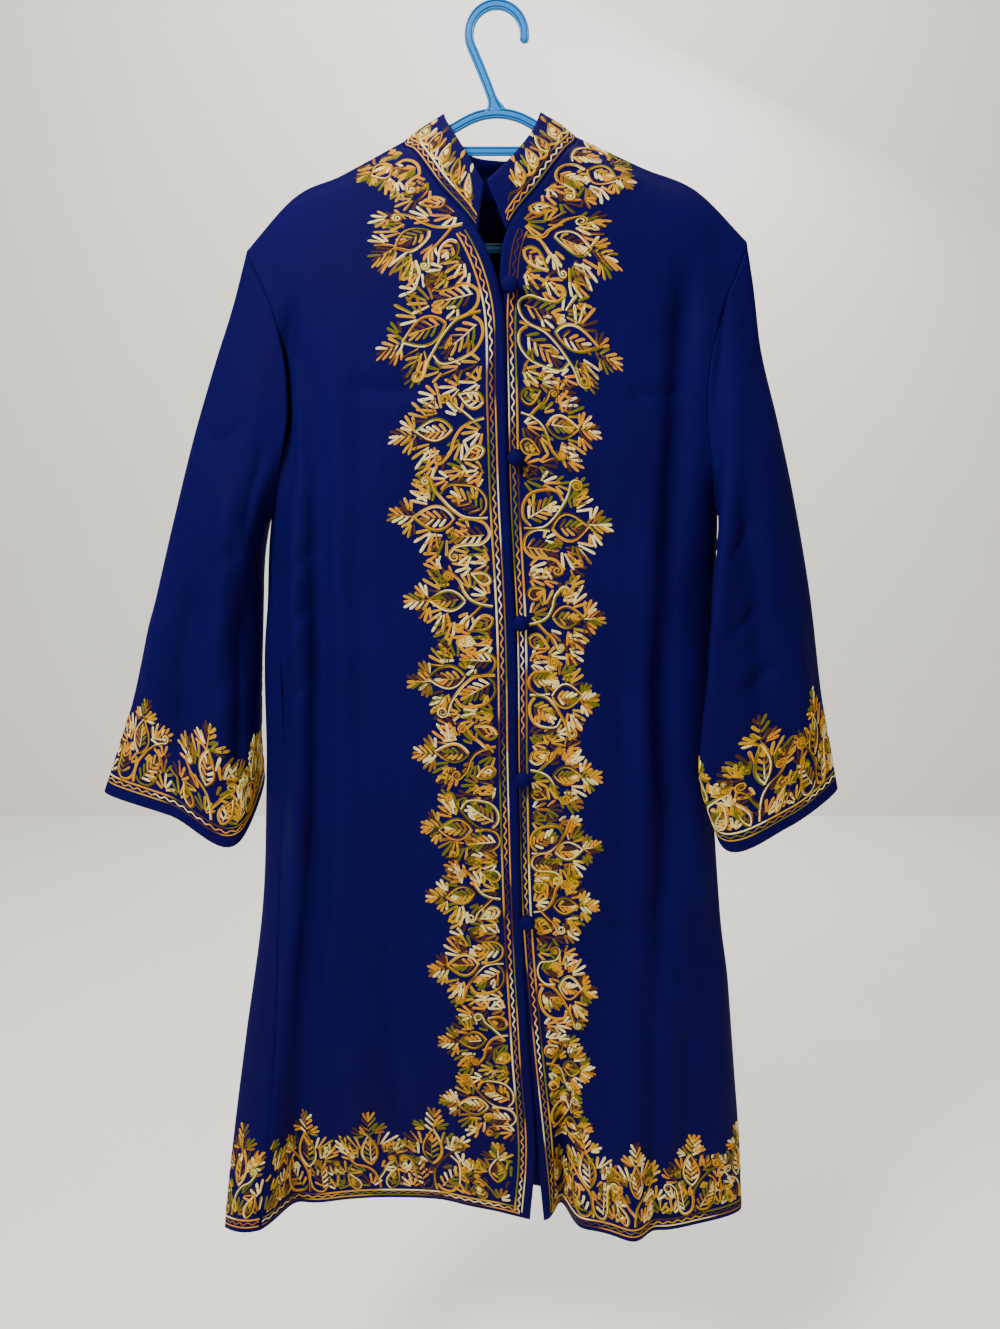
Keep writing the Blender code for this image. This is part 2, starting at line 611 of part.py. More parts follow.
def button(number, x, z, face_y, collection, cloth):
    """Cloth-covered ball on a short neck that ends just off the panel."""
    base_y = face_y - SEAM_INSET
    ball_y = base_y - NECK_LENGTH - BUTTON_DEPTH * BALL_SHARE
    profile = [(NECK_RADIUS, base_y), (NECK_RADIUS, base_y - NECK_LENGTH * NECK_SHARE)]
    first = math.asin(NECK_RADIUS / BUTTON_RADIUS) + BALL_START
    for i in range(BUTTON_STEPS):
        angle = first + (math.pi - first) * i / (BUTTON_STEPS - 1)
        profile.append((BUTTON_RADIUS * math.sin(angle), ball_y + BUTTON_DEPTH * math.cos(angle)))
    profile[-1] = (0.0, ball_y - BUTTON_DEPTH)
    profile.insert(0, (0.0, base_y))
    mesh = bpy.data.meshes.new(f"button_{number}")
    points = [(radius, 0.0, base_y - y) for radius, y in profile]
    mesh.from_pydata(points, [(i, i + 1) for i in range(len(profile) - 1)], [])
    mesh.materials.append(cloth)
    made = bpy.data.objects.new(f"button_{number}", mesh)
    made.location = (x, base_y, z)
    made.rotation_euler = (math.radians(90), 0.0, 0.0)
    collection.objects.link(made)
    turn = made.modifiers.new("turn", "SCREW")
    turn.axis = "Z"
    turn.steps = turn.render_steps = BUTTON_ROUNDS
    turn.use_merge_vertices = True
    turn.merge_threshold = BUTTON_WELD
    turn.use_normal_flip = True


def loop(number, x, z, face_y, edge_x, collection, cloth):
    """Cord loop from the lapping edge round the button's neck."""
    y = face_y - SEAM_INSET - LOOP_CORD / 2
    reach = edge_x + LOOP_TUCK
    short, rise = LOOP_SHOULDER
    points = [(reach, y, z + LOOP_END_GAP), (x - short, y, z + rise)]
    for i in range(LOOP_STEPS + 1):
        angle = math.radians(LOOP_ANGLE * (1 - 2 * i / LOOP_STEPS))
        points.append((x + LOOP_ROUND * math.cos(angle), y, z + LOOP_ROUND * math.sin(angle)))
    points.append((x - short, y, z - rise))
    points.append((reach, y, z - LOOP_END_GAP))
    curve = bpy.data.curves.new(f"button_loop_{number}", "CURVE")
    curve.dimensions = "3D"
    line = curve.splines.new("POLY")
    line.points.add(len(points) - 1)
    for point, place in zip(line.points, points):
        point.co = (*place, 1.0)
    curve.bevel_depth = LOOP_CORD / 2
    curve.bevel_resolution = 1
    curve.use_fill_caps = True
    curve.materials.append(cloth)
    collection.objects.link(bpy.data.objects.new(f"button_loop_{number}", curve))


def band_outline(middle, width):
    """Closed outline of a band of this width along a middle line in the hanger's plane."""
    middle = np.array(middle, float)
    way = np.gradient(middle, axis=0)
    way /= np.linalg.norm(way, axis=1, keepdims=True)
    side = np.stack([-way[:, 1], way[:, 0]], axis=1) * width / 2
    return np.concatenate([middle + side, (middle - side)[::-1]])


def plate(name, outlines, thickness, collection, plastic):
    """Flat plate in the hanger's plane, with rounded edges, as a closed mesh."""
    curve = bpy.data.curves.new(name, "CURVE")
    curve.dimensions = "2D"
    curve.fill_mode = "BOTH"
    curve.extrude = thickness / 2
    for outline in outlines:
        line = curve.splines.new("POLY")
        line.points.add(len(outline) - 1)
        line.use_cyclic_u = True
        for point, place in zip(line.points, outline):
            point.co = (place[0], place[1], 0.0, 1.0)
    drawn = bpy.data.objects.new(name + "_outline", curve)
    drawn.rotation_euler = (math.radians(90), 0.0, 0.0)
    collection.objects.link(drawn)
    bpy.context.view_layer.update()
    graph = bpy.context.evaluated_depsgraph_get()
    mesh = bpy.data.meshes.new_from_object(drawn.evaluated_get(graph))
    made = bpy.data.objects.new(name, mesh)
    made.matrix_world = drawn.matrix_world
    bpy.data.objects.remove(drawn, do_unlink=True)
    mesh.materials.clear()
    mesh.materials.append(plastic)
    collection.objects.link(made)
    weld = made.modifiers.new("weld", "WELD")
    weld.merge_threshold = PLATE_WELD
    return made


def hook_line():
    """Middle line of the hook and its stem, from the tip over the top and down to the arch."""
    points = []
    for i in range(HOOK_STEPS + 1):
        angle = math.radians(HOOK_TIP_ANGLE + (HOOK_END_ANGLE - HOOK_TIP_ANGLE) * i / HOOK_STEPS)
        points.append((HOOK_RADIUS * math.cos(angle), HOOK_CENTRE_Z + HOOK_RADIUS * math.sin(angle)))
    start = np.array(points[-1])
    foot = np.array((STEM_FOOT_X, STEM_FOOT_Z))
    angle = math.radians(STEM_LEAN)
    lean = np.array((math.sin(angle), -math.cos(angle))) * STEM_LEAN_PULL
    fall = np.array((0.0, -STEM_FALL_PULL))
    for i in range(1, STEM_STEPS + 1):
        s = i / STEM_STEPS
        ease = (2 * s**3 - 3 * s**2 + 1, s**3 - 2 * s**2 + s, 3 * s**2 - 2 * s**3, s**3 - s**2)
        points.append(tuple(ease[0] * start + ease[1] * lean + ease[2] * foot + ease[3] * fall))
    return points


def arm_line():
    """Middle line of the arch, both arms and the bar below, as one closed round."""
    hump = ARCH_SLOPE / math.hypot(1, ARCH_SLOPE) * ARCH_RADIUS
    half = []
    for i in range(ARCH_STEPS + 1):
        x = hump * i / ARCH_STEPS
        half.append((x, ARCH_TOP_Z - ARCH_RADIUS + math.sqrt(ARCH_RADIUS**2 - x * x)))
    x, z = half[-1]
    start_z = z - (ARM_START - x) * (ARCH_SLOPE + ARM_SLOPE) / 2
    half.append((ARM_START, start_z))
    end_z = start_z - (ARM_REACH - ARM_START) * ARM_SLOPE
    half.append((ARM_REACH, end_z))
    turn = (end_z - BAR_Z) / 2
    first, last = TIP_ANGLES
    for i in range(1, TIP_STEPS + 1):
        angle = math.radians(first + (last - first) * i / TIP_STEPS)
        x = ARM_REACH - TIP_SETBACK + TIP_RADIUS * math.cos(angle)
        half.append((x, BAR_Z + turn + turn * math.sin(angle)))
    half.append((BAR_END, BAR_Z))
    return half


def closed_band(half, width):
    """Outer and inner outlines of a closed band that mirrors across the middle."""
    left = [(-x, z) for x, z in half[::-1] if x > 0]
    middle = np.array(left + list(half), float)
    before, after = np.roll(middle, 1, axis=0), np.roll(middle, -1, axis=0)
    way = after - before
    way /= np.linalg.norm(way, axis=1, keepdims=True)
    side = np.stack([-way[:, 1], way[:, 0]], axis=1) * width / 2
    return middle + side, middle - side


def hanger(collection, plastic):
    """Hook and stem, arched arms with their lower bar, and a cross bar, joined as one."""
    half = arm_line()
    outer, inner = closed_band(half, BAND_WIDTH)
    frame = plate("hanger", (outer, inner), BAND_THICKNESS, collection, plastic)
    hook_outline = band_outline(hook_line(), BAND_WIDTH)
    hook = plate("hook_blank", (hook_outline,), BAND_THICKNESS * HOOK_SHARE, collection, plastic)
    arms = np.array(half[: ARCH_STEPS + 3])
    reach = float(np.interp(-CROSS_BAR_Z, -arms[:, 1], arms[:, 0]))
    low, high = CROSS_BAR_Z - CROSS_BAR_HEIGHT / 2, CROSS_BAR_Z + CROSS_BAR_HEIGHT / 2
    short = reach - CROSS_BAR_TAPER
    bar_outline = ((-reach, low), (reach, low), (short, high), (-short, high))
    bar = plate("bar_blank", (bar_outline,), CROSS_BAR_THICKNESS, collection, plastic)
    for blank in (hook, bar):
        joined = frame.modifiers.new("join", "BOOLEAN")
        joined.operation = "UNION"
        joined.object = blank
    rounded = frame.modifiers.new("edges", "BEVEL")
    rounded.width = BAND_EDGE
    rounded.segments = 2
    rounded.limit_method = "ANGLE"
    rounded.angle_limit = math.radians(EDGE_ANGLE)
    return hook, bar


def main():
    clear_scene()
    coat = bpy.data.collections.new("embroidered_coat")
    blanks = bpy.data.collections.new("cutters")
    bpy.context.scene.collection.children.link(coat)
    bpy.context.scene.collection.children.link(blanks)
    cloth = material("royal_blue_cloth", CLOTH_BLUE, CLOTH_ROUGHNESS)
    stand = material("collar_cloth", COLLAR_BLUE, CLOTH_ROUGHNESS)
    covered = material("button_cloth", BUTTON_BLUE, BUTTON_ROUGHNESS)
    plastic = material("hanger_plastic", HANGER_BLUE, HANGER_ROUGHNESS)

    right_table, left_table = with_roof(RIGHT_FRONT, False), with_roof(LEFT_FRONT, False)
    back_table = with_roof(BACK, True)
    right_side, right_turn, left_side, left_turn = (
        column_of(table, FRONT_COLUMNS, label)
        for table in (right_table, left_table)
        for label in ("side", "turn")
    )
    right_seam, rear_right, rear_left, left_seam = (
        column_of(back_table, BACK_COLUMNS, label)
        for label in ("right_seam", "right_turn", "left_turn", "left_seam")
    )
    right_front = Panel("right_front", right_table, last=beyond(right_side, right_turn, rear_right))
    left_front = Panel("left_front", left_table, last=beyond(left_side, left_turn, rear_left))
    back_panel = Panel(
        "back",
        back_table,
        first=beyond(right_seam, rear_right, right_turn),
        last=beyond(left_seam, rear_left, left_turn),
    )
    front(right_front, RIGHT_FOCUS, coat, cloth)
    front(left_front, LEFT_FOCUS, coat, cloth)
    back(back_panel, right_front, left_front, coat, cloth)
    sleeve("right_sleeve", RIGHT_SLEEVE, right_front, back_panel, 0, coat, cloth)
    sleeve("left_sleeve", LEFT_SLEEVE, left_front, back_panel, -1, coat, cloth)
    collar(right_front, left_front, coat, stand)

    for number, x, z in BUTTON_ROWS:
        x, z = x * MM, z * MM
        face_y = face_of(left_front, x, z)
        edge = right_front.line(0, np.linspace(0, 1, EDGE_ROWS))
        edge_x = edge[abs(edge[:, 2] - z) < LOOP_ROUND, 0].max()
        button(number, x, z, face_y, coat, covered)
        loop(number, x, z, face_y, edge_x, coat, covered)

    for blank in hanger(coat, plastic):
        coat.objects.unlink(blank)
        blanks.objects.link(blank)
        blank.hide_render = True
        blank.display_type = "WIRE"


main()
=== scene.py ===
import math

import bpy
import numpy as np
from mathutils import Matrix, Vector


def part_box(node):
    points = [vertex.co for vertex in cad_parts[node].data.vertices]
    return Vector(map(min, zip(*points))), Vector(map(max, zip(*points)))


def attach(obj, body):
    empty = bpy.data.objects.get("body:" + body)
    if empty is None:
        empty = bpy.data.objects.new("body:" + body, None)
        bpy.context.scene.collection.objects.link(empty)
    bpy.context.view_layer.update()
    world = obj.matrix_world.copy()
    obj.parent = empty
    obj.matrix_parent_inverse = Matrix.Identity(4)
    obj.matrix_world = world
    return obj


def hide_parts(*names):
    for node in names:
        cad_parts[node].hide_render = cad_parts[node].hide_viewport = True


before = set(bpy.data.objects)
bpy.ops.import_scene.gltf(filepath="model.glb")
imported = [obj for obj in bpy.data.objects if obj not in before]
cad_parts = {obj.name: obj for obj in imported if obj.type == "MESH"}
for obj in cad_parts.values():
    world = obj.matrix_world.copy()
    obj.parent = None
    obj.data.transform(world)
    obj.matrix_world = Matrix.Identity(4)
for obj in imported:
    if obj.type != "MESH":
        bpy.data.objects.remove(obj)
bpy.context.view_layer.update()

mm = 0.001


def runLengths(points, axis=0):
    # Length along the lines of a grid of points, from 0 at their first point
    steps = np.linalg.norm(np.diff(points, axis=axis), axis=-1)
    return np.cumsum(np.insert(steps, 0, 0.0, axis=axis), axis=axis)


class Term:
    # A shader value that does sums by adding Math nodes to its tree
    def __init__(self, shader, socket):
        self.shader, self.socket = shader, socket

    def sum(self, operation, first, second=None):
        values = [first] if second is None else [first, second]
        return self.shader.make("ShaderNodeMath", {"operation": operation}, *values)

    def __add__(self, other):
        return self.sum("ADD", self, other)

    def __radd__(self, other):
        return self.sum("ADD", other, self)

    def __sub__(self, other):
        return self.sum("SUBTRACT", self, other)

    def __rsub__(self, other):
        return self.sum("SUBTRACT", other, self)

    def __mul__(self, other):
        return self.sum("MULTIPLY", self, other)

    def __rmul__(self, other):
        return self.sum("MULTIPLY", other, self)

    def __truediv__(self, other):
        return self.sum("DIVIDE", self, other)

    def sine(self):
        return self.sum("SINE", self)

    def fract(self):
        return self.sum("FRACT", self)

    def size(self):
        return self.sum("ABSOLUTE", self)

    def clamp(self):
        return self.shader.make("ShaderNodeClamp", {}, self)


class Shader:
    # One procedural material; every node comes from make, with its settings and inputs in order
    def __init__(self, name):
        self.material = bpy.data.materials.new(name)
        self.material.use_nodes = True
        self.tree = self.material.node_tree
        self.surface = self.tree.nodes["Principled BSDF"]

    def make(self, kind, settings, *inputs, output=0, **named):
        node = self.tree.nodes.new(kind)
        for key, value in settings.items():
            setattr(node, key, value)
        pairs = list(enumerate(inputs)) + [(key.replace("_", " "), value) for key, value in named.items()]
        for key, value in pairs:
            self.put(node, key, value)
        return Term(self, node.outputs[output])

    def put(self, node, key, value):
        if value is None:
            return
        if isinstance(value, Term):
            self.tree.links.new(value.socket, node.inputs[key])
        else:
            node.inputs[key].default_value = value

    def set(self, **named):
        for key, value in named.items():
            self.put(self.surface, key.replace("_", " "), value)

    def coordinates(self, name="Object"):
        return self.make("ShaderNodeTexCoord", {}, output=name)

    def attribute(self, name, output="Fac"):
        return self.make("ShaderNodeAttribute", {"attribute_name": name}, output=output)

    def parts(self, vector):
        node = self.make("ShaderNodeSeparateXYZ", {}, vector).socket.node
        return [Term(self, socket) for socket in node.outputs]

    def noise(self, vector, scale, detail=2.0, roughness=0.5):
        return self.make(
            "ShaderNodeTexNoise", {}, Vector=vector, Scale=scale, Detail=detail, Roughness=roughness,
        )

    def stretched(self, vector, scale):
        return self.make("ShaderNodeMapping", {}, Vector=vector, Scale=scale)

    def ramp(self, factor, stops, smooth="LINEAR"):
        found = self.make("ShaderNodeValToRGB", {}, factor)
        ramp = found.socket.node.color_ramp
        ramp.interpolation = smooth
        ramp.elements.remove(ramp.elements[1])
        ramp.elements[0].position, ramp.elements[0].color = stops[0][0], (*stops[0][1], 1.0)
        for place, colour in stops[1:]:
            ramp.elements.new(place).color = (*colour, 1.0)
        return found

    def mix(self, factor, first, second, blend="MIX"):
        node = self.tree.nodes.new("ShaderNodeMix")
        node.data_type, node.blend_type = "RGBA", blend
        for socket, value in zip([node.inputs[0], node.inputs[6], node.inputs[7]], (factor, first, second)):
            if isinstance(value, Term):
                self.tree.links.new(value.socket, socket)
            else:
                socket.default_value = (*value, 1.0) if isinstance(value, tuple) else value
        return Term(self, node.outputs[2])

    def bump(self, height, strength, distance):
        return self.make("ShaderNodeBump", {}, Height=height, Strength=strength, Distance=distance)


# Sections in millimetres, the same as the solids' own
rightFrontTable = (
    ((-91, 0, -118.4), (-150, 0, -148.4), (-203, 0, -173.9), (-243.5, -6, -219.5)),
    ((-81, -19, -132), (-146, -14, -163), (-204, -13, -194), (-233, -17, -244)),
    ((-53, -45, -172), (-128, -35, -204), (-197, -27, -236), (-217, -27, -279)),
    ((-17.4, -58, -214.5), (-106, -47, -248), (-183, -38, -286), (-206, -34, -326)),
    ((3.5, -56.5, -268), (-97, -52, -300), (-174, -45, -338), (-204, -36, -371)),
    ((8.5, -54.5, -370), (-95, -54, -386), (-173, -48, -405), (-213, -34, -424)),
    ((11, -53.5, -450), (-95, -55, -456), (-176, -49, -466), (-226, -17, -474)),
    ((17.9, -53.5, -580), (-92, -56, -580), (-182, -50, -580), (-223, -24, -580)),
    ((20.8, -53, -741), (-92, -56, -741), (-184, -50, -741), (-221, -27, -741)),
    ((25.4, -52, -891), (-92, -54, -891), (-190, -48, -891), (-230, -30, -891)),
    ((33.5, -49, -1040), (-85, -46, -1040), (-196, -40, -1040), (-238, -36, -1040)),
    ((41.3, -41, -1172), (-80, -26, -1168), (-204, -24, -1168), (-250, -46, -1168)),
    ((36.4, -33, -1250), (-72, -8, -1243), (-205, -10, -1249), (-258, -57, -1242)),
)

leftFrontTable = (
    ((77, 0, -113.9), (140, 0, -141.4), (196, 0, -164.4), (243, -6, -211)),
    ((68, -18, -130), (136, -14, -157), (196, -13, -186), (235, -16, -238)),
    ((40, -41, -170), (119, -34, -199), (189, -27, -230), (219, -26, -276)),
    ((9.1, -52.5, -212.7), (100, -46, -243), (180, -38, -281), (208, -33, -323)),
    ((1.5, -52, -268), (95, -51, -299), (174, -45, -335), (205, -35, -368)),
    ((2, -51, -370), (94, -52, -386), (173, -48, -405), (212, -33, -424)),
    ((3.6, -50.5, -450), (94, -52, -456), (174, -48, -466), (222, -14, -474)),
    ((10.5, -50.5, -580), (98, -52, -580), (172, -42, -580), (222, -6, -580)),
    ((13, -50, -741), (98, -52, -741), (172, -42, -741), (227, -4, -741)),
    ((17.7, -49, -891), (102, -51, -891), (182, -43, -891), (240, -3, -891)),
    ((30.5, -45, -1040), (110, -50, -1040), (192, -44, -1040), (257, -3, -1040)),
    ((44.2, -36, -1172), (118, -50, -1168), (202, -45, -1168), (271, -3, -1168)),
    ((51.9, -30, -1254), (122, -52, -1250), (212, -44, -1249), (277, -4, -1253)),
)

backTable = (
    ((-243.5, -6, -219.5), (-203, 0, -173.9), (-91, 0, -118.4), (-5, 21, -168),
     (77, 0, -113.9), (196, 0, -164.4), (243, -6, -211)),
    ((-233, 9, -244), (-200, 12, -198), (-92, 15, -150), (-5, 23, -180),
     (80, 15, -148), (194, 12, -190), (235, 10, -238)),
    ((-219, 15, -279), (-188, 18, -243), (-92, 22, -215), (-5, 24, -220),
     (82, 22, -214), (184, 18, -238), (221, 15, -276)),
    ((-209, 18, -326), (-176, 21, -300), (-92, 24, -285), (-5, 24, -285),
     (84, 24, -285), (174, 21, -298), (211, 18, -323)),
    ((-207, 18, -371), (-174, 22, -355), (-92, 24, -348), (-5, 23, -348),
     (84, 24, -348), (172, 22, -354), (208, 18, -368)),
    ((-215, 14, -424), (-178, 21, -416), (-92, 24, -412), (-5, 22, -412),
     (84, 24, -412), (175, 21, -416), (214, 14, -424)),
    ((-226, -16, -475), (-218, 12, -474), (-112, 23, -470), (-5, 21, -470),
     (100, 23, -470), (205, 16, -474), (222, -13, -475)),
    ((-223, -24, -580), (-238, -4, -580), (-136, 23, -580), (-5, 21, -580),
     (112, 24, -580), (206, 17, -580), (222, -6, -580)),
    ((-221, -27, -741), (-244, -6, -741), (-144, 24, -741), (-5, 20, -741),
     (116, 25, -741), (210, 18, -741), (227, -4, -741)),
    ((-230, -30, -891), (-253, -8, -891), (-150, 25, -891), (-5, 20, -891),
     (122, 26, -891), (220, 20, -891), (240, -3, -891)),
    ((-238, -36, -1040), (-275, -14, -1040), (-160, 24, -1040), (-5, 21, -1040),
     (130, 27, -1040), (232, 22, -1040), (257, -3, -1040)),
    ((-250, -46, -1168), (-292, -26, -1168), (-168, 24, -1168), (-5, 22, -1168),
     (136, 27, -1168), (244, 22, -1168), (271, -3, -1168)),
    ((-258, -57, -1242), (-300, -42, -1253), (-172, 26, -1250), (-5, 24, -1248),
     (140, 28, -1250), (250, 22, -1252), (277, -4, -1253)),
)

rightSleeveTable = (
    ((-243.5, -6, -219.5), (-206, -34, -326), (-213, -34, -424), (-226, -17, -474), (-208, 18, -345)),
    ((-257, -10, -268), (-226, -37, -352), (-226, -35, -448), (-233, -13, -487), (-226, 18, -366)),
    ((-277, -12, -324), (-249, -39, -400), (-240, -37, -486), (-239, -11, -512), (-248, 17, -406)),
    ((-300, -13, -391), (-274, -40, -456), (-248, -38, -540), (-241, -8, -556), (-272, 14, -458)),
    ((-323.5, -14, -470), (-295, -40, -524), (-253, -37, -596), (-244, -6, -606), (-294, 12, -520)),
    ((-354.5, -15, -581), (-318, -39, -622), (-256, -36, -672), (-247.5, -4, -664), (-316, 10, -612)),
    ((-377, -16, -664), (-333, -37, -698), (-259, -34, -740), (-249.5, -2, -710), (-328, 9, -684)),
    ((-412.5, -18, -762), (-340, -33, -784), (-268, -31, -811), (-249.5, 3, -757), (-340, 8, -762)),
)

leftSleeveTable = (
    ((243, -6, -211), (208, -33, -323), (212, -33, -424), (222, -14, -474), (210, 18, -345)),
    ((249.5, -10, -250), (228, -37, -352), (220, -38, -448), (226.5, -25, -484), (226, 17, -362)),
    ((259, -13, -312), (246, -43, -404), (219, -49, -500), (225, -36, -520), (244, 12, -404)),
    ((278, -14, -380), (262, -47, -462), (215, -55, -556), (221, -43, -570), (260, 8, -462)),
    ((296, -15, -450), (276, -49, -530), (211, -58, -618), (216, -47, -626), (272, 4, -528)),
    ((318, -16, -552), (290, -49, -616), (206, -58, -682), (210, -48, -684), (286, 0, -612)),
    ((336, -17, -662), (302, -48, -708), (206, -57, -742), (211, -46, -736), (300, -3, -700)),
    ((357, -19, -758), (300, -46, -792), (229, -52, -808), (223, -40, -788), (298, -6, -778)),
)

collarTable = (
    ((-17.4, -58, -214.5), (-11.8, -55, -171.5)),
    ((-53, -45, -172), (-29.6, -40, -138)),
    ((-81, -19, -132), (-46, -16, -107)),
    ((-91, 0, -118.4), (-51, 0, -93)),
    ((-76, 12, -134), (-46, 12, -108)),
    ((-40, 19, -158), (-28, 16, -124)),
    ((-5, 21, -168), (-4, 17, -129)),
    ((32, 19, -157), (20, 14, -128)),
    ((66, 12, -132), (38, 10, -108)),
    ((77, 0, -113.9), (42, 0, -91)),
    ((68, -18, -130), (34, -15, -112)),
    ((40, -41, -170), (15, -35, -141)),
    ((9.1, -52.5, -212.7), (-9.5, -48, -167)),
)

# The large hanging folds: piece, how far back it moves, half width, line in x, z, and strength at its top
foldTable = (
    ("right_front", 9, 13, (
        (-193, -300), (-172, -450), (-172, -580), (-178, -780), (-205, -1000), (-232, -1250)
    ), 0.35),
    ("right_front", -5, 12, ((-192, -460), (-194, -640), (-214, -900), (-262, -1250)), 0.5),
    ("right_front", 12, 20, ((-220, -1000), (-229, -1250)), 0.0),
    ("right_front", -4, 26, ((-60, -560), (-50, -900), (-30, -1250)), 0.3),
    ("left_front", 8, 13, (
        (186, -250), (176, -400), (168, -600), (178, -800), (168, -1000), (168, -1100)
    ), 0.5),
    ("left_front", 36, 11, ((72, -1010), (73, -1250)), 0.0),
    ("left_front", -16, 24, ((146, -1000), (150, -1250)), 0.0),
    ("back", 6, 20, ((-70, -330), (-84, -700), (-110, -1250)), 0.3),
    ("back", -9, 22, ((40, -420), (52, -800), (66, -1250)), 0.2),
    ("back", 6, 24, ((-150, -420), (-176, -800), (-210, -1250)), 0.2),
    ("back", -8, 18, ((150, -500), (172, -850), (196, -1250)), 0.2),
)
foldRise, foldFade = 40, 90  # a fold starts this far above its line's top, and is whole this much lower

# The cloth's turn over the shoulder: steps out and down in millimetres
roof = ((0.0, 0.0), (2.6, 0.8), (4.1, 3.4))
# Rows of a panel at the neck's corner and the underarm, and rows of the collar up to the shoulder
cornerRow, underarmRow, neckRow = len(roof) + 2, len(roof) + 5, 3
collarMiddle = (-4 * mm, -14 * mm, 0.0)


def knots(table):
    # Even shares of a table's length, by its rows' mean distances
    steps = np.linalg.norm(np.diff(table, axis=0), axis=2).mean(axis=1)
    along = np.concatenate([[0.0], np.cumsum(steps)])
    return along / along[-1]


def weights(places, at):
    # Shares of the values at some places that give a smooth curve through them at others
    places, at = np.asarray(places, float), np.asarray(at, float)
    count = len(places)
    slopes = np.zeros((count, count))
    for i in range(count):
        before, after = max(i - 1, 0), min(i + 1, count - 1)
        if before == i or after == i:
            slopes[i, after], slopes[i, before] = 1.0, -1.0
            slopes[i] /= places[after] - places[before]
            continue
        left, right = places[i] - places[before], places[after] - places[i]
        slopes[i, after] += left / right
        slopes[i, i] += right / left - left / right
        slopes[i, before] -= right / left
        slopes[i] /= left + right
    cell = np.clip(np.searchsorted(places, at, side="right") - 1, 0, count - 2)
    width = places[cell + 1] - places[cell]
    s = (at - places[cell]) / width
    made = np.zeros((len(at), count))
    rows = np.arange(len(at))
    made[rows, cell] += 2 * s**3 - 3 * s**2 + 1
    made[rows, cell + 1] += 3 * s**2 - 2 * s**3
    made += ((s**3 - 2 * s**2 + s) * width)[:, None] * slopes[cell]
    made += ((s**3 - s**2) * width)[:, None] * slopes[cell + 1]
    return made


def smooth(x):
    x = np.clip(x, 0, 1)
    return x * x * (3 - 2 * x)


def withRoof(sections, backwards):
    # The sections in metres, with the shoulder's turn in place of their first row
    sections = np.array(sections, float)
    start = [sections[0] + np.array([0.0, out if backwards else -out, -down]) for out, down in roof]
    return np.concatenate([start, sections[1:]]) * mm


def beyond(table, neighbour):
    # One more column past a panel's side, so that it meets its neighbour smoothly
    last, turn = table[:, -1], table[:, -2]
    column = last + (last - turn) * 0.5
    column[underarmRow + 1 :] = neighbour[underarmRow + 1 :]
    column[underarmRow] = (column[underarmRow] + neighbour[underarmRow]) / 2
    return column[:, None]


def foldShift(panel, points):
    # How far back the large folds move each point
    moved = np.zeros(points.shape[:-1])
    x, z = points[..., 0] / mm, points[..., 2] / mm
    for name, depth, width, line, startShare in foldTable:
        if name != panel:
            continue
        line = np.array(line, float)[::-1]
        middle = np.interp(z, line[:, 1], line[:, 0])
        top, bottom = line[-1, 1], line[0, 1]
        run = np.clip((top - z) / (top - bottom), 0, 1)
        strength = (startShare + (1 - startShare) * run) * smooth((top + foldRise - z) / foldFade)
        moved += depth * mm * strength * np.exp(-(((x - middle) / width) ** 2))
    return moved


class Panel:
    # A smooth surface through a table of sections, u across it and v down it
    def __init__(self, name, table, first=None, last=None):
        self.name, self.table = name, table
        columns = [column for column in (first, table, last) if column is not None]
        self.wide = np.concatenate(columns, axis=1)
        places = knots(self.wide.transpose(1, 0, 2))
        start = 1 if first is not None else 0
        low, high = places[start], places[start + table.shape[1] - 1]
        self.places = (places - low) / (high - low)
        self.columns = self.places[start : start + table.shape[1]]
        self.rows = knots(table)

    def grid(self, across, along):
        down, sideways = weights(self.rows, along), weights(self.places, across)
        made = np.einsum("mr,nc,rck->mnk", down, sideways, self.wide)
        made[..., 1] += foldShift(self.name, made)
        return made

    def line(self, column, along):
        return self.grid([self.columns[column]], along)[:, 0]


rightTable, leftTable = withRoof(rightFrontTable, False), withRoof(leftFrontTable, False)
backRows = withRoof(backTable, True)
rightPanel = Panel("right_front", rightTable, last=beyond(rightTable, backRows[:, 1]))
leftPanel = Panel("left_front", leftTable, last=beyond(leftTable, backRows[:, -2]))
backPanel = Panel(
    "back", backRows,
    first=beyond(backRows[:, ::-1], rightTable[:, -2]), last=beyond(backRows, leftTable[:, -2]),
)


def rowsDown(panel, neck, arm, skirt):
    # Places down a panel, with so many rows beside the neck, beside the armhole and below it
    corner, deep = panel.rows[cornerRow], panel.rows[underarmRow]
    return np.concatenate([
        panel.rows[: len(roof)],
        np.linspace(panel.rows[len(roof) - 1], corner, neck + 1)[1:],
        np.linspace(corner, deep, arm + 1)[1:],
        np.linspace(deep, 1, skirt + 1)[1:],
    ])


panelRows = (26, 60, 195)
frontColumns, backSide, backMiddle = 76, 34, 44
armRows = (12, 18, 8)
sleeveSizes = {"rows": 130, "blend": 0.3}
collarSizes = {"beside": 36, "behind": 60, "up": 15, "seam": 0.5 * mm, "roll": 1.5 * mm}
neckSizes = {"ease": 0.09, "cornerReach": 9 * mm}  # rows drawn together at the neck's two corners


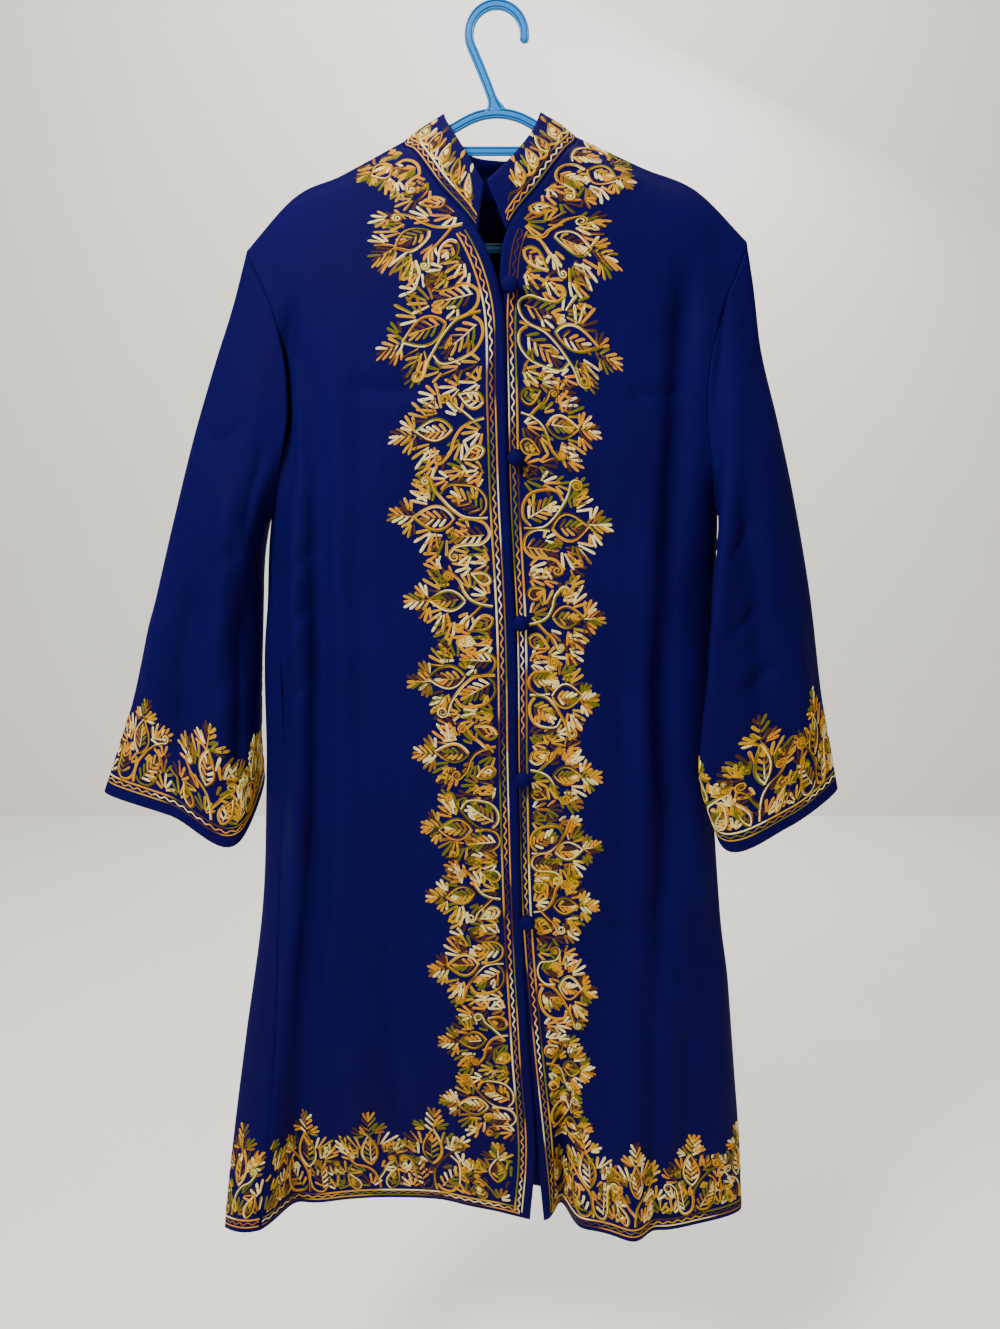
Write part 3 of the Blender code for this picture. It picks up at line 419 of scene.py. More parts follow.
def backNeck(count):
    # The neck's edge behind, and its place in the collar's rows
    table = np.array(collarTable, float) * mm
    last = len(collarTable) - 1
    foot = table[neckRow : last - neckRow + 1, 0]
    steps = np.linalg.norm(np.diff(foot, axis=0), axis=1)
    places = np.concatenate([[0.0], np.cumsum(steps)]) / steps.sum()
    even = np.linspace(0, 1, count + 1)
    eased = even - neckSizes["ease"] * np.sin(2 * np.pi * even)
    points = weights(places, eased) @ foot
    for end in (foot[0], foot[-1]):
        away = np.clip(points[:, 1] / (roof[-1][0] * mm), 0, 1)
        near = np.linalg.norm(points - end, axis=1) < neckSizes["cornerReach"]
        kept = end[2] - roof[-1][1] * mm * away**2
        points[near, 2] = np.maximum(points[near, 2], kept[near])
    return points, neckRow + np.interp(eased, places, range(len(foot)))


def joinedToFront(grid, along, shares, panel, frontPanel, column):
    # Below the underarm the back's side is drawn over to the front's
    rows = np.interp(along, panel.rows, frontPanel.rows)
    moved = frontPanel.line(-1, rows) - grid[:, column]
    moved *= (along >= panel.rows[underarmRow] - 1e-9)[:, None]
    return grid + moved[:, None] * smooth(shares)[None, :, None]


def backGrid():
    rightNeck, leftNeck = backPanel.columns[2], backPanel.columns[4]
    neck, _ = backNeck(backMiddle)
    span = runLengths(neck)
    shoulder = np.linspace(0, 1, backSide + 1)
    across = np.concatenate([
        shoulder[:-1] * rightNeck,
        rightNeck + (leftNeck - rightNeck) * span / span[-1],
        leftNeck + (1 - leftNeck) * shoulder[1:],
    ])
    top = np.concatenate([
        rightPanel.grid(1 - shoulder[:-1], [0.0])[0], neck, leftPanel.grid(shoulder[1:], [0.0])[0],
    ])
    along = rowsDown(backPanel, *panelRows)
    grid = backPanel.grid(across, along)
    fade = smooth(1 - along / backPanel.rows[len(roof) + 1])
    grid += (top - grid[0])[None] * fade[:, None, None]
    grid = joinedToFront(grid, along, 1 - across / backPanel.columns[1], backPanel, rightPanel, 0)
    shares = 1 - (1 - across) / (1 - backPanel.columns[-2])
    return joinedToFront(grid, along, shares, backPanel, leftPanel, -1)


def frontGrid(panel):
    return panel.grid(np.linspace(0, 1, frontColumns), rowsDown(panel, *panelRows))


def neckOfFront(panel, count):
    along = np.linspace(0, panel.rows[cornerRow], count)
    steps = np.interp(along, panel.rows[[0, len(roof), len(roof) + 1, cornerRow]], range(neckRow + 1))
    return panel.line(0, along), steps


def collarGrid():
    topLine = np.array(collarTable, float)[:, 1] * mm
    last = len(collarTable) - 1
    rightPoints, rightSteps = neckOfFront(rightPanel, collarSizes["beside"])
    leftPoints, leftSteps = neckOfFront(leftPanel, collarSizes["beside"])
    backPoints, backRowsAt = backNeck(collarSizes["behind"])
    foot = np.concatenate([rightPoints[::-1], backPoints[1:-1], leftPoints])
    rows = np.concatenate([neckRow - rightSteps[::-1], backRowsAt[1:-1], last - neckRow + leftSteps])
    top = weights(range(len(collarTable)), rows) @ topLine
    way = top - foot
    foot = foot + way / np.linalg.norm(way, axis=1, keepdims=True) * collarSizes["seam"]
    out = (foot + top) / 2 - np.array(collarMiddle)
    out[:, 2] = 0.0
    out /= np.linalg.norm(out, axis=1, keepdims=True)
    up = np.linspace(0, 1, collarSizes["up"])[:, None, None]
    return foot + (top - foot) * up + out * collarSizes["roll"] * np.sin(math.pi * up)


def armhole(frontPanel, column):
    # The armhole's edge down the front and up the back, and its place in the sleeve's columns
    deepest = len(roof) + armRows[0] + armRows[1]
    down = rowsDown(frontPanel, *armRows)[:deepest]
    up = rowsDown(backPanel, *armRows)[: deepest - 1][:0:-1]
    frontMarks = frontPanel.rows[[0, len(roof) + 2, len(roof) + 4, underarmRow]]
    backMarks = backPanel.rows[[0, len(roof) + 2, underarmRow]]
    points = np.concatenate([frontPanel.line(-1, down), backPanel.line(column, up)])
    turns = np.concatenate([np.interp(down, frontMarks, range(4)), np.interp(up, backMarks, (5, 4, 3))])
    return points, turns


def sleeveGrid(sections, frontPanel, column):
    sections = np.array(sections, float) * mm
    columns = sections.shape[1]
    ring = np.concatenate([sections[:, -2:], sections, sections[:, :3]], axis=1)
    places = knots(ring.transpose(1, 0, 2))
    hole, turns = armhole(frontPanel, column)
    along = np.linspace(0, 1, sleeveSizes["rows"])
    easing = np.clip(along / sleeveSizes["blend"], 0, 1)
    even = np.arange(len(turns)) / len(turns) * columns
    rows = weights(knots(sections), along)
    grid = []
    for row, share in zip(rows, easing):
        mixed = turns + (even - turns) * share
        across = weights(places, np.interp(mixed, range(columns + 1), places[2 : 3 + columns]))
        grid.append(np.einsum("r,nc,rck->nk", row, across, ring))
    grid = np.array(grid)
    grid += (hole - grid[0])[None] * smooth(1 - easing)[:, None, None]
    return grid


# Which piece, depth of a trough (+) or ridge (-), half width, side it shows on, and its line in x, z
creaseTable = (
    ("right_front", 3.2, 8, -1, ((-196, -250), (-206, -330), (-205, -420), (-208, -470))),
    ("right_front", -2.0, 9, -1, ((-192, -410), (-194, -520), (-196, -640))),
    ("right_front", 1.4, 5, -1, ((-185, -560), (-200, -585), (-216, -604))),
    ("right_front", 1.3, 5, -1, ((-190, -640), (-204, -655), (-214, -668))),
    ("right_front", 1.2, 6, -1, ((-180, -500), (-198, -530), (-214, -540))),
    ("right_front", 1.0, 9, -1, ((-150, -352), (-100, -358), (-60, -356))),
    ("right_front", -0.9, 12, -1, ((-160, -905), (-120, -912), (-90, -908))),
    ("right_front", 8.0, 17, -1, ((-186, -260), (-178, -360), (-175, -460), (-174, -600), (-178, -740),
                                  (-186, -850), (-205, -1000), (-216, -1120))),
    ("right_front", -3.0, 10, -1, ((-200, -440), (-197, -600), (-202, -760), (-210, -880))),
    ("right_front", 1.3, 3.5, -1, ((-214, -588), (-219, -650), (-215, -716))),
    ("right_front", -0.9, 4, -1, ((-205, -592), (-209, -650), (-206, -714))),
    ("right_front", 1.6, 14, -1, ((-128, -300), (-138, -520), (-134, -760))),
    ("right_front", -1.4, 16, -1, ((-158, -420), (-160, -640), (-170, -880))),
    ("right_front", 1.8, 12, -1, ((-120, -900), (-112, -1040), (-104, -1160))),
    ("right_front", -2.2, 16, -1, ((-150, -980), (-152, -1100), (-158, -1230))),
    ("left_front", 7.0, 15, -1, ((186, -205), (180, -300), (176, -420), (170, -560))),
    ("left_front", 7.0, 16, -1, ((171, -560), (165, -640), (178, -760), (180, -860), (170, -960))),
    ("left_front", -1.6, 12, -1, ((150, -420), (148, -640), (152, -860))),
    ("left_front", -1.4, 12, -1, ((204, -560), (208, -760), (220, -960))),
    ("left_front", 1.5, 6, -1, ((170, -905), (186, -930), (196, -958), (198, -985))),
    ("left_front", 1.0, 8, -1, ((120, -362), (160, -360), (190, -352))),
    ("left_front", 1.0, 9, -1, ((90, -900), (130, -906), (180, -902))),
    ("left_front", 1.5, 14, -1, ((122, -560), (130, -760), (126, -980))),
    ("left_front", -1.8, 14, -1, ((236, -900), (244, -1060), (252, -1240))),
    ("left_front", 2.0, 12, -1, ((206, -980), (208, -1100), (204, -1240))),
    ("back", 0.6, 9, 1, ((-160, -358), (-60, -362), (60, -360), (150, -356))),
    ("back", 0.5, 9, 1, ((-180, -905), (-60, -910), (80, -906), (190, -912))),
    ("back", 2.6, 11, 1, ((-30, -260), (-36, -560), (-50, -900), (-58, -1240))),
    ("back", -2.2, 14, 1, ((-120, -300), (-128, -620), (-140, -960), (-150, -1240))),
    ("back", 2.4, 12, 1, ((110, -260), (116, -560), (128, -900), (140, -1240))),
    ("back", 2.8, 10, 1, ((176, -300), (184, -480), (196, -700))),
    ("back", 2.8, 10, 1, ((-176, -300), (-190, -480), (-206, -700))),
    ("right_sleeve", 4.5, 14, -1, ((-296, -520), (-316, -600), (-322, -680), (-318, -740))),
    ("right_sleeve", -2.4, 10, -1, ((-262, -430), (-268, -520), (-278, -600), (-290, -660))),
    ("right_sleeve", -2.2, 11, -1, ((-272, -640), (-280, -700), (-292, -760))),
    ("right_sleeve", 3.0, 9, -1, ((-246, -520), (-256, -600), (-262, -700), (-268, -780))),
    ("right_sleeve", 1.6, 6, -1, ((-224, -400), (-240, -452), (-250, -500))),
    ("right_sleeve", 1.4, 6, -1, ((-240, -380), (-262, -400), (-290, -404))),
    ("right_sleeve", 1.4, 6, -1, ((-252, -500), (-268, -520), (-292, -530))),
    ("right_sleeve", -2.0, 12, -1, ((-336, -560), (-352, -640), (-366, -720))),
    ("right_sleeve", 2.6, 12, 1, ((-250, -360), (-290, -520), (-320, -660))),
    ("right_sleeve", 1.8, 8, 1, ((-236, -460), (-262, -480), (-300, -484))),
    ("right_sleeve", 2.0, 10, 1, ((-270, -560), (-300, -620), (-340, -660))),
    ("left_sleeve", -2.6, 10, -1, ((232, -320), (226, -440), (219, -540), (210, -650))),
    ("left_sleeve", 3.0, 11, -1, ((240, -420), (250, -520), (262, -620), (272, -720))),
    ("left_sleeve", 1.3, 5, -1, ((222, -262), (216, -330), (212, -380))),
    ("left_sleeve", 1.6, 6, -1, ((246, -480), (238, -500), (224, -520))),
    ("left_sleeve", 1.4, 6, -1, ((262, -560), (244, -580), (226, -588))),
    ("left_sleeve", 1.4, 7, -1, ((284, -610), (262, -640), (236, -652))),
    ("left_sleeve", -2.0, 12, -1, ((292, -560), (306, -640), (318, -720))),
    ("left_sleeve", 2.4, 12, 1, ((250, -360), (276, -520), (300, -680))),
    ("left_sleeve", 1.8, 8, 1, ((230, -470), (256, -486), (290, -480))),
)


def normalsOf(grid, outward, closed=False):
    # Unit normals of a grid of points, facing away from the inner points given
    if closed:
        wide = np.concatenate([grid[:, -1:], grid, grid[:, :1]], axis=1)
        across = (wide[:, 2:] - wide[:, :-2]) / 2
    else:
        across = np.gradient(grid, axis=1)
    normal = np.cross(np.gradient(grid, axis=0), across)
    normal /= np.linalg.norm(normal, axis=-1, keepdims=True) + 1e-12
    return normal * np.sign((normal * (grid - outward)).sum())


# Small creases are worked deeper than listed; they fade near their ends and round the cloth's turn
creaseLook = {"scale": 2.4, "largeFrom": 5, "endFade": 4, "turnFade": 2.2}


def creased(name, grid, inner, closed=False):
    # Cloth moved in by the troughs and out by the ridges of its piece
    moved = np.zeros(grid.shape[:2])
    normal = normalsOf(grid, inner, closed)
    x, z = grid[..., 0] / mm, grid[..., 2] / mm
    for piece, depth, half, side, line in creaseTable:
        if piece != name:
            continue
        line = np.array(line, float)
        starts = runLengths(line)
        spans = np.diff(starts)
        best, place = np.full(x.shape, np.inf), np.zeros(x.shape)
        for (x0, z0), (x1, z1), span, start in zip(line[:-1], line[1:], spans, starts):
            t = ((x - x0) * (x1 - x0) + (z - z0) * (z1 - z0)) / span**2
            t = np.clip(t, 0, 1)
            far = np.hypot(x - x0 - t * (x1 - x0), z - z0 - t * (z1 - z0))
            nearer = far < best
            best, place = np.where(nearer, far, best), np.where(nearer, start + t * span, place)
        run = place / starts[-1]
        ends = smooth(np.minimum(run, 1 - run) * creaseLook["endFade"])
        facing = smooth(normal[..., 1] * side * creaseLook["turnFade"])
        scale = creaseLook["scale"] if abs(depth) < creaseLook["largeFrom"] else 1.0
        moved += depth * scale * mm * ends * facing * np.exp(-((best / half) ** 2))
    return grid - normal * moved[..., None]


bodyMiddle = -14 * mm


def spine(grid):
    # Points on the body's middle line, level with the grid's own
    inner = grid.copy()
    inner[..., 0], inner[..., 1] = 0.0, bodyMiddle
    return inner


def core(grid):
    # The middle of each ring of a sleeve
    return np.broadcast_to(grid.mean(axis=1, keepdims=True), grid.shape)


def newObject(name, points, faces, material, smoothly=True):
    mesh = bpy.data.meshes.new(name)
    mesh.from_pydata(points.tolist(), [], faces.tolist())
    mesh.update()
    if smoothly:
        mesh.shade_smooth()
    mesh.materials.append(material)
    made = bpy.data.objects.new(name, mesh)
    bpy.context.scene.collection.objects.link(made)
    return made


def uvMap(made, values):
    # The cloth map, from a place in metres for each vertex
    layer = made.data.uv_layers.new(name="cloth")
    corners = np.empty(len(made.data.loops), np.int32)
    made.data.loops.foreach_get("vertex_index", corners)
    layer.data.foreach_set("uv", values[corners].astype(np.float32).ravel())


def quads(rows, columns, closed):
    i, j = np.meshgrid(np.arange(rows - 1), np.arange(columns if closed else columns - 1), indexing="ij")
    k = (j + 1) % columns
    corners = [i * columns + j, i * columns + k, (i + 1) * columns + k, (i + 1) * columns + j]
    return np.stack(corners, -1).reshape(-1, 4)


halfWall = 0.6 * mm


def shell(name, grid, normal, closed, material):
    # A wall of cloth from a grid: outer face, inner face and the rims between them
    rows, columns = grid.shape[:2]
    count = rows * columns
    outer, inner = grid + normal * halfWall, grid - normal * halfWall
    points = np.concatenate([outer.reshape(-1, 3), inner.reshape(-1, 3)])
    front = quads(rows, columns, closed)
    middle = rows // 2 * columns + columns // 2
    way = np.cross(points[middle + 1] - points[middle], points[middle + columns] - points[middle])
    if (way * normal[rows // 2, columns // 2]).sum() < 0:
        front = front[:, ::-1]
    faces = [front, front[:, ::-1] + count]
    lines = [np.arange(columns), (rows - 1) * columns + np.arange(columns)]
    if closed:
        lines = [np.append(line, line[0]) for line in lines]
    else:
        lines += [np.arange(rows) * columns, np.arange(rows) * columns + columns - 1]
    used = {(a, b) for face in front for a, b in zip(face, np.roll(face, -1))}
    for line in lines:
        a, b = line[:-1], line[1:]
        if (a[0], b[0]) in used:
            a, b = b, a
        faces.append(np.stack([a, b, b + count, a + count], -1))
    made = newObject(name, points, np.concatenate(faces), material)
    across, down = runLengths(grid, 1), runLengths(grid)
    flat = np.stack([across - across[:, columns // 2 : columns // 2 + 1], down], -1).reshape(-1, 2)
    uvMap(made, np.concatenate([flat, flat]))
    return made


rowGap = 5.0  # yarn used between two rows, in millimetres
stitchHalf = 0.85


class Stitches:
    # Rows of chain stitch on flat cloth, in millimetres, with the yarn's running length
    def __init__(self, seed):
        self.rng = np.random.default_rng(seed)
        self.rows, self.used = [], 0.0

    def row(self, points, half=stitchHalf, lift=0.0):
        points = np.asarray(points, float)
        run = self.used + runLengths(points)
        self.rows.append((points, run, half, lift))
        self.used = run[-1] + rowGap

    def skip(self):
        # Another length of the yarn, so another colour of it
        self.used += self.rng.uniform(40, 700)

    def keep(self, low, high):
        # Drops the rows that leave the cloth between these corners
        self.rows = [
            row for row in self.rows if (row[0].min(axis=0) > low).all() and (row[0].max(axis=0) < high).all()
        ]


def turned(points, base, angle):
    # Points drawn along +y, turned so that +y goes angle degrees towards +x, and set on the base
    points = np.asarray(points, float)
    a = math.radians(angle)
    c, s = math.cos(a), math.sin(a)
    return np.stack([points[:, 0] * c + points[:, 1] * s, points[:, 1] * c - points[:, 0] * s], 1) + base


def curve(points, step=2.2):
    # A smooth line through points, with a point every step
    points = np.asarray(points, float)
    places = runLengths(points)
    count = max(4, int(places[-1] / step))
    return weights(places, np.linspace(0, places[-1], count)) @ points


def finger(work, base, angle, length, width=3.6, bend=0.0):
    # Out and back, round the tip
    side = width / 2 - stitchHalf
    y = np.array([0, 0.45, 0.78, 0.93, 1, 0.93, 0.78, 0.45, 0]) * length
    x = np.array([-0.35, -0.75 * side, -side, -0.72 * side, 0, 0.72 * side, side, 0.75 * side, 0.35])
    x = x + bend * (y / length) ** 2
    work.row(turned(np.stack([x, y], 1), base, angle))


def fan(work, base, angle, spread, count, length):
    # Fingers from a short stalk, the middle ones further out along it
    rng = work.rng
    work.skip()
    for i in range(count):
        t = -1 + 2 * i / max(count - 1, 1)
        way = angle + t * spread * 0.56 + rng.normal(0, 1.5)
        size = length * (0.88 - 0.20 * abs(t) ** 1.5) * rng.uniform(0.94, 1.06)
        start = turned([(0, length * 0.14 * (1 - abs(t)))], base, angle)[0]
        start = turned([(0, length * 0.18)], start, way)[0]
        finger(work, start, way, size, rng.uniform(3.1, 3.5), -t * 1.2)


def fern(work, base, angle, length, pairs, size):
    # Pairs of fingers up a stalk, and one at its tip
    rng = work.rng
    work.skip()
    work.row(turned([(0, 0), (0.3, length * 0.35), (0, length * 0.7)], base, angle), 0.75)
    for side in (-1, 1):
        for i in range(pairs):
            t = (i + 0.30 + 0.2 * (side > 0)) / pairs
            start = turned([(side * 0.7, t * (length - size * 0.55))], base, angle)[0]
            lean = side * (62 - 30 * t) + rng.normal(0, 2)
            share = 0.70 + 0.30 * math.sin(math.pi * (0.2 + 0.6 * t))
            finger(work, start, angle + lean, size * share, 3.3, -side * 1.2)
    finger(work, turned([(0, length - size)], base, angle)[0], angle, size, 3.5)


def doubled(work, points, gap=1.5, half=0.8, lift=0.25):
    # Two rows side by side
    points = np.asarray(points, float)
    way = np.gradient(points, axis=0)
    way /= np.linalg.norm(way, axis=1, keepdims=True) + 1e-9
    side = np.stack([-way[:, 1], way[:, 0]], 1) * gap / 2
    work.row(points + side, half, lift)
    work.used += 60
    work.row(points - side, half, lift)


def almond(work, base, angle, length, width):
    # A pointed oval of doubled rows
    work.skip()
    t = np.linspace(0, 1, 12)
    out = np.sin(math.pi * t**0.85) * width / 2
    for side in (-1, 1):
        doubled(work, turned(np.stack([side * out, t * length], 1), base, angle))


def curl(work, points, radius, way):
    # A stem that ends in a spiral of one and a half turns
    work.skip()
    path = curve(points)
    end, before = path[-1], path[-3]
    heading = math.atan2(end[1] - before[1], end[0] - before[0])
    towards = heading + way * math.pi / 2
    centre = end + radius * np.array([math.cos(towards), math.sin(towards)])
    turn = np.linspace(0, 1, 20)[1:]
    angle = heading - way * math.pi / 2 + way * turn * 3.1 * math.pi
    size = radius * (1 - 0.78 * turn)
    spiral = centre + np.stack([np.cos(angle), np.sin(angle)], 1) * size[:, None]
    doubled(work, np.concatenate([path, spiral]))


def paisley(work, base, angle, length, width, way):
    # A drop with a bent tip, and a small fern inside
    work.skip()
    t = np.linspace(0, 1, 13)
    bend = way * 0.3 * width * t**2
    out = np.sin(math.pi * t**0.7) * width / 2
    for side in (-1, 1):
        doubled(work, turned(np.stack([side * out + bend, t * length], 1), base, angle))
    fern(work, turned([(0, length * 0.14)], base, angle)[0], angle + way * 6, length * 0.62, 2, length * 0.28)


def bud(work, base, angle, length):
    # Three fingers from one place
    work.skip()
    for lean, share in ((-28, 0.8), (28, 0.8), (0, 1.0)):
        finger(work, base, angle + lean, length * share, 3.6, -0.04 * lean)


# Elements of the lobes, in a frame 84 along the edge and 98 out from it: what, x, y, angle, own sizes
frameWide, frameHigh = 84, 98
largeLobe = (
    ("outline", ((2, 9), (-4, 3), (-15, 2), (-25, 9), (-30, 24), (-29, 40), (-21, 46))),
    ("fern", -5, 7, -34, 37, 5, 12),
    ("fan", -14, 12, -78, 60, 3, 11),
    ("curl", ((4, 2), (4, 14), (2, 25), (-5, 35), (-15, 44), (-27, 52), (-37, 55)), 5.5, -1),
    ("curl", ((5, 30), (4.5, 15), (10, 4), (20, 1), (28, 9), (29, 24), (31, 35), (37, 41)), 5.5, -1),
    ("fern", 20, 6, 3, 35, 5, 11),
    ("fan", 13, 22, -30, 90, 3, 11),
    ("almond", 3, 34, -5, 40, 24),
    ("fern", 2.5, 40, -5, 28, 4, 10),
    ("fern", -1, 70, -3, 28, 4, 12),
    ("fan", -4, 75, -60, 66, 4, 15),
    ("fan", 4, 74, 58, 66, 4, 15),
    ("fan", -11, 55, -58, 84, 5, 23),
    ("fan", -20, 53, -36, 84, 5, 20),
    ("fan", -33, 59, -38, 90, 4, 13),
    ("fan", 14, 54, 52, 84, 5, 23),
    ("fan", 21, 42, 42, 90, 5, 22),
    ("fan", 36, 50, 16, 96, 4, 15),
    ("fan", -37, 3, -6, 116, 5, 17),
    ("fan", -36, 20, -12, 104, 5, 17),
    ("fan", -36, 38, 6, 96, 4, 14),
    ("fan", 38, 3, 4, 116, 5, 17),
    ("fan", 37, 21, 8, 104, 5, 16),
    ("bud", 12, 36, 58, 11),
    ("bud", -9, 30, -62, 11),
)
smallLobe = (
    ("curl", ((7, 2), (5, 14), (0, 25), (-9, 32), (-20, 36), (-28, 44)), 5, -1),
    ("curl", ((5, 12), (14, 22), (22, 32), (30, 36)), 4.5, 1),
    ("almond", 0, 33, 2, 37, 20),
    ("fern", 0, 38, 2, 27, 4, 9),
    ("fern", 0, 67, 2, 29, 4, 12),
    ("fan", -3, 71, -58, 66, 4, 16),
    ("fan", 4, 71, 58, 66, 4, 16),
    ("fan", -9, 52, -56, 84, 5, 24),
    ("fan", -17, 43, -40, 84, 5, 22),
    ("fan", -29, 52, -20, 96, 5, 16),
    ("fan", 10, 52, 56, 84, 5, 24),
    ("fan", 17, 44, 38, 84, 5, 22),
    ("fan", 31, 46, 26, 96, 5, 18),
    ("fan", -9, 23, -62, 90, 5, 18),
    ("fan", 12, 27, 62, 84, 4, 15),
    ("paisley", 20, 2, 14, 27, 14, 1),
    ("fan", -3, 4, -14, 120, 6, 17),
    ("paisley", -20, 2, -10, 22, 12, -1),
    ("fan", -37, 4, -6, 116, 5, 17),
    ("fan", -35, 21, -8, 104, 5, 17),
    ("fan", 37, 4, 8, 116, 5, 17),
    ("fan", 37, 24, 10, 104, 5, 17),
)


def lobe(work, elements, station, pitch, height, base=0.0, flip=1):
    # One lobe of the border at a station along it, stretched to its own pitch and height
    sx, sy = pitch / frameWide, height / frameHigh
    size = math.sqrt(sx * sy)
    rng = work.rng
    for kind, *values in elements:
        if kind in ("curl", "outline"):
            points = [(station + flip * x * sx, base + y * sy) for x, y in values[0]]
            if kind == "outline":
                work.skip()
                doubled(work, curve(points))
            else:
                curl(work, points, values[1] * size, values[2] * flip)
            continue
        x, y, angle, *sizes = values
        place = np.array([station + flip * x * sx, base + y * sy]) + rng.normal(0, 0.7, 2)
        angle = flip * angle + rng.normal(0, 3.0)
        if kind == "fern":
            fern(work, place, angle, sizes[0] * sy, sizes[1], sizes[2] * size)
        elif kind == "fan":
            fan(work, place, angle, sizes[0], sizes[1], sizes[2] * size)
        elif kind == "almond":
            almond(work, place, angle, sizes[0] * sy, sizes[1] * sx)
        elif kind == "paisley":
            paisley(work, place, angle, sizes[0] * sy, sizes[1] * sx, sizes[2] * flip)
        elif kind == "bud":
            bud(work, place, angle, sizes[0] * size)


def lobes(work, tips, base, first=0):
    # A run of lobes with their tips at these stations and heights, large and small by turns
    stations = [tip[0] for tip in tips]
    gaps = np.diff(stations)
    for i, (station, height) in enumerate(tips):
        before = gaps[i - 1] if i else gaps[0]
        after = gaps[i] if i < len(gaps) else gaps[-1]
        elements = (largeLobe, smallLobe)[(i + first) % 2]
        lobe(work, elements, station, (before + after) / 2, height - base, base, 1 if i % 4 < 2 else -1)


trimRows = {
    "innerHalf": 1.0, "waveHalf": 0.72, "outerHalf": 0.75, "lift": 0.1,
    "step": 4.0, "waveStep": 1.4, "waveHeight": 1.2, "waveLength": 11,
}


def trims(work, start, end, inner, wave, outer):
    # Inner line, wavy line and thin outer line beside a border
    sizes = trimRows
    line = np.arange(start, end, sizes["step"])
    work.skip()
    work.row(np.stack([line, np.full(len(line), inner)], 1), sizes["innerHalf"], sizes["lift"])
    fine = np.arange(start, end, sizes["waveStep"])
    waved = wave + sizes["waveHeight"] * np.sin(fine * 2 * math.pi / sizes["waveLength"])
    work.skip()
    work.row(np.stack([fine, waved], 1), sizes["waveHalf"], sizes["lift"])
    work.skip()
    work.row(np.stack([line, np.full(len(line), outer)], 1), sizes["outerHalf"], sizes["lift"])


class ClothMap:
    # Places flat embroidery on a grid: x runs along the grid's first line, y away from it
    def __init__(self, grid, normal, deep, step):
        along, out = runLengths(grid[:, 0]), runLengths(grid, 1)
        both = np.concatenate([grid, normal], axis=2)
        at = np.arange(0, deep, step)
        rows = np.stack([[np.interp(at, out[i], both[i, :, k]) for k in range(6)] for i in range(len(grid))])
        stations = np.arange(0, along[-1] + step / 2, step)
        cell = np.clip(np.searchsorted(along, stations, side="right") - 1, 0, len(along) - 2)
        share = ((stations - along[cell]) / (along[cell + 1] - along[cell]))[:, None, None]
        self.table = (rows[cell] * (1 - share) + rows[cell + 1] * share).transpose(0, 2, 1)
        self.step, self.length = step, along[-1]
        i, j = 60, 4  # a cell that lies on the cloth in every map
        spot, right, above = self.table[i, j], self.table[i + 1, j], self.table[i, j + 1]
        self.mirrored = np.cross(right[:3] - spot[:3], above[:3] - spot[:3]) @ spot[3:] < 0

    def place(self, points):
        x = np.clip(points[:, 0] / self.step, 0, self.table.shape[0] - 1.001)
        y = np.clip(points[:, 1] / self.step, 0, self.table.shape[1] - 1.001)
        i, j = x.astype(int), y.astype(int)
        s, t = (x - i)[:, None], (y - j)[:, None]
        table = self.table
        low = table[i, j] * (1 - s) + table[i + 1, j] * s
        high = table[i, j + 1] * (1 - s) + table[i + 1, j + 1] * s
        found = low * (1 - t) + high * t
        return found[:, :3] + found[:, 3:] * points[:, 2:3]


yarnSizes = {"heightShare": 0.95, "roundSteps": 4, "sunk": 0.15 * mm}


def yarnTree():
    # Turns flat rows into half-round yarn: height, round steps and material are inputs
    tree = bpy.data.node_groups.new("yarnRows", "GeometryNodeTree")
    face = tree.interface
    face.new_socket("Rows", in_out="INPUT", socket_type="NodeSocketGeometry")
    for name, kind in (("Height share", "Float"), ("Round steps", "Int"), ("Yarn", "Material")):
        face.new_socket(name, in_out="INPUT", socket_type="NodeSocket" + kind)
    face.new_socket("Yarn rows", in_out="OUTPUT", socket_type="NodeSocketGeometry")

    def node(kind, settings=None, **inputs):
        made = tree.nodes.new(kind)
        for key, value in (settings or {}).items():
            setattr(made, key, value)
        for key, value in inputs.items():
            socket = made.inputs[key.replace("_", " ")]
            if isinstance(value, bpy.types.NodeSocket):
                tree.links.new(value, socket)
            else:
                socket.default_value = value
        return made

    given = node("NodeGroupInput").outputs
    half = node("GeometryNodeInputNamedAttribute", {"data_type": "FLOAT"}, Name="half")
    lines = node("GeometryNodeMeshToCurve", Mesh=given["Rows"])
    upright = node("GeometryNodeSetCurveNormal", {"mode": "Z_UP"}, Curve=lines.outputs[0])
    arc = node(
        "GeometryNodeCurveArc", {"mode": "RADIUS"},
        Resolution=given["Round steps"], Radius=1.0, Start_Angle=math.pi, Sweep_Angle=math.pi,
    )
    scale = node("ShaderNodeCombineXYZ", X=1.0, Y=given["Height share"], Z=1.0)
    low = node("GeometryNodeTransform", Geometry=arc.outputs[0], Scale=scale.outputs[0])
    part = node("GeometryNodeSplineParameter")
    marked = node(
        "GeometryNodeStoreNamedAttribute", {"data_type": "FLOAT", "domain": "POINT"},
        Geometry=low.outputs[0], Name="side", Value=part.outputs["Factor"],
    )
    swept = node(
        "GeometryNodeCurveToMesh",
        Curve=upright.outputs[0], Profile_Curve=marked.outputs[0], Scale=half.outputs[0],
    )
    real = node("GeometryNodeRealizeInstances", Geometry=swept.outputs[0])
    done = node("GeometryNodeSetMaterial", Geometry=real.outputs[0], Material=given["Yarn"])
    tree.links.new(done.outputs[0], node("NodeGroupOutput").inputs[0])
    return tree


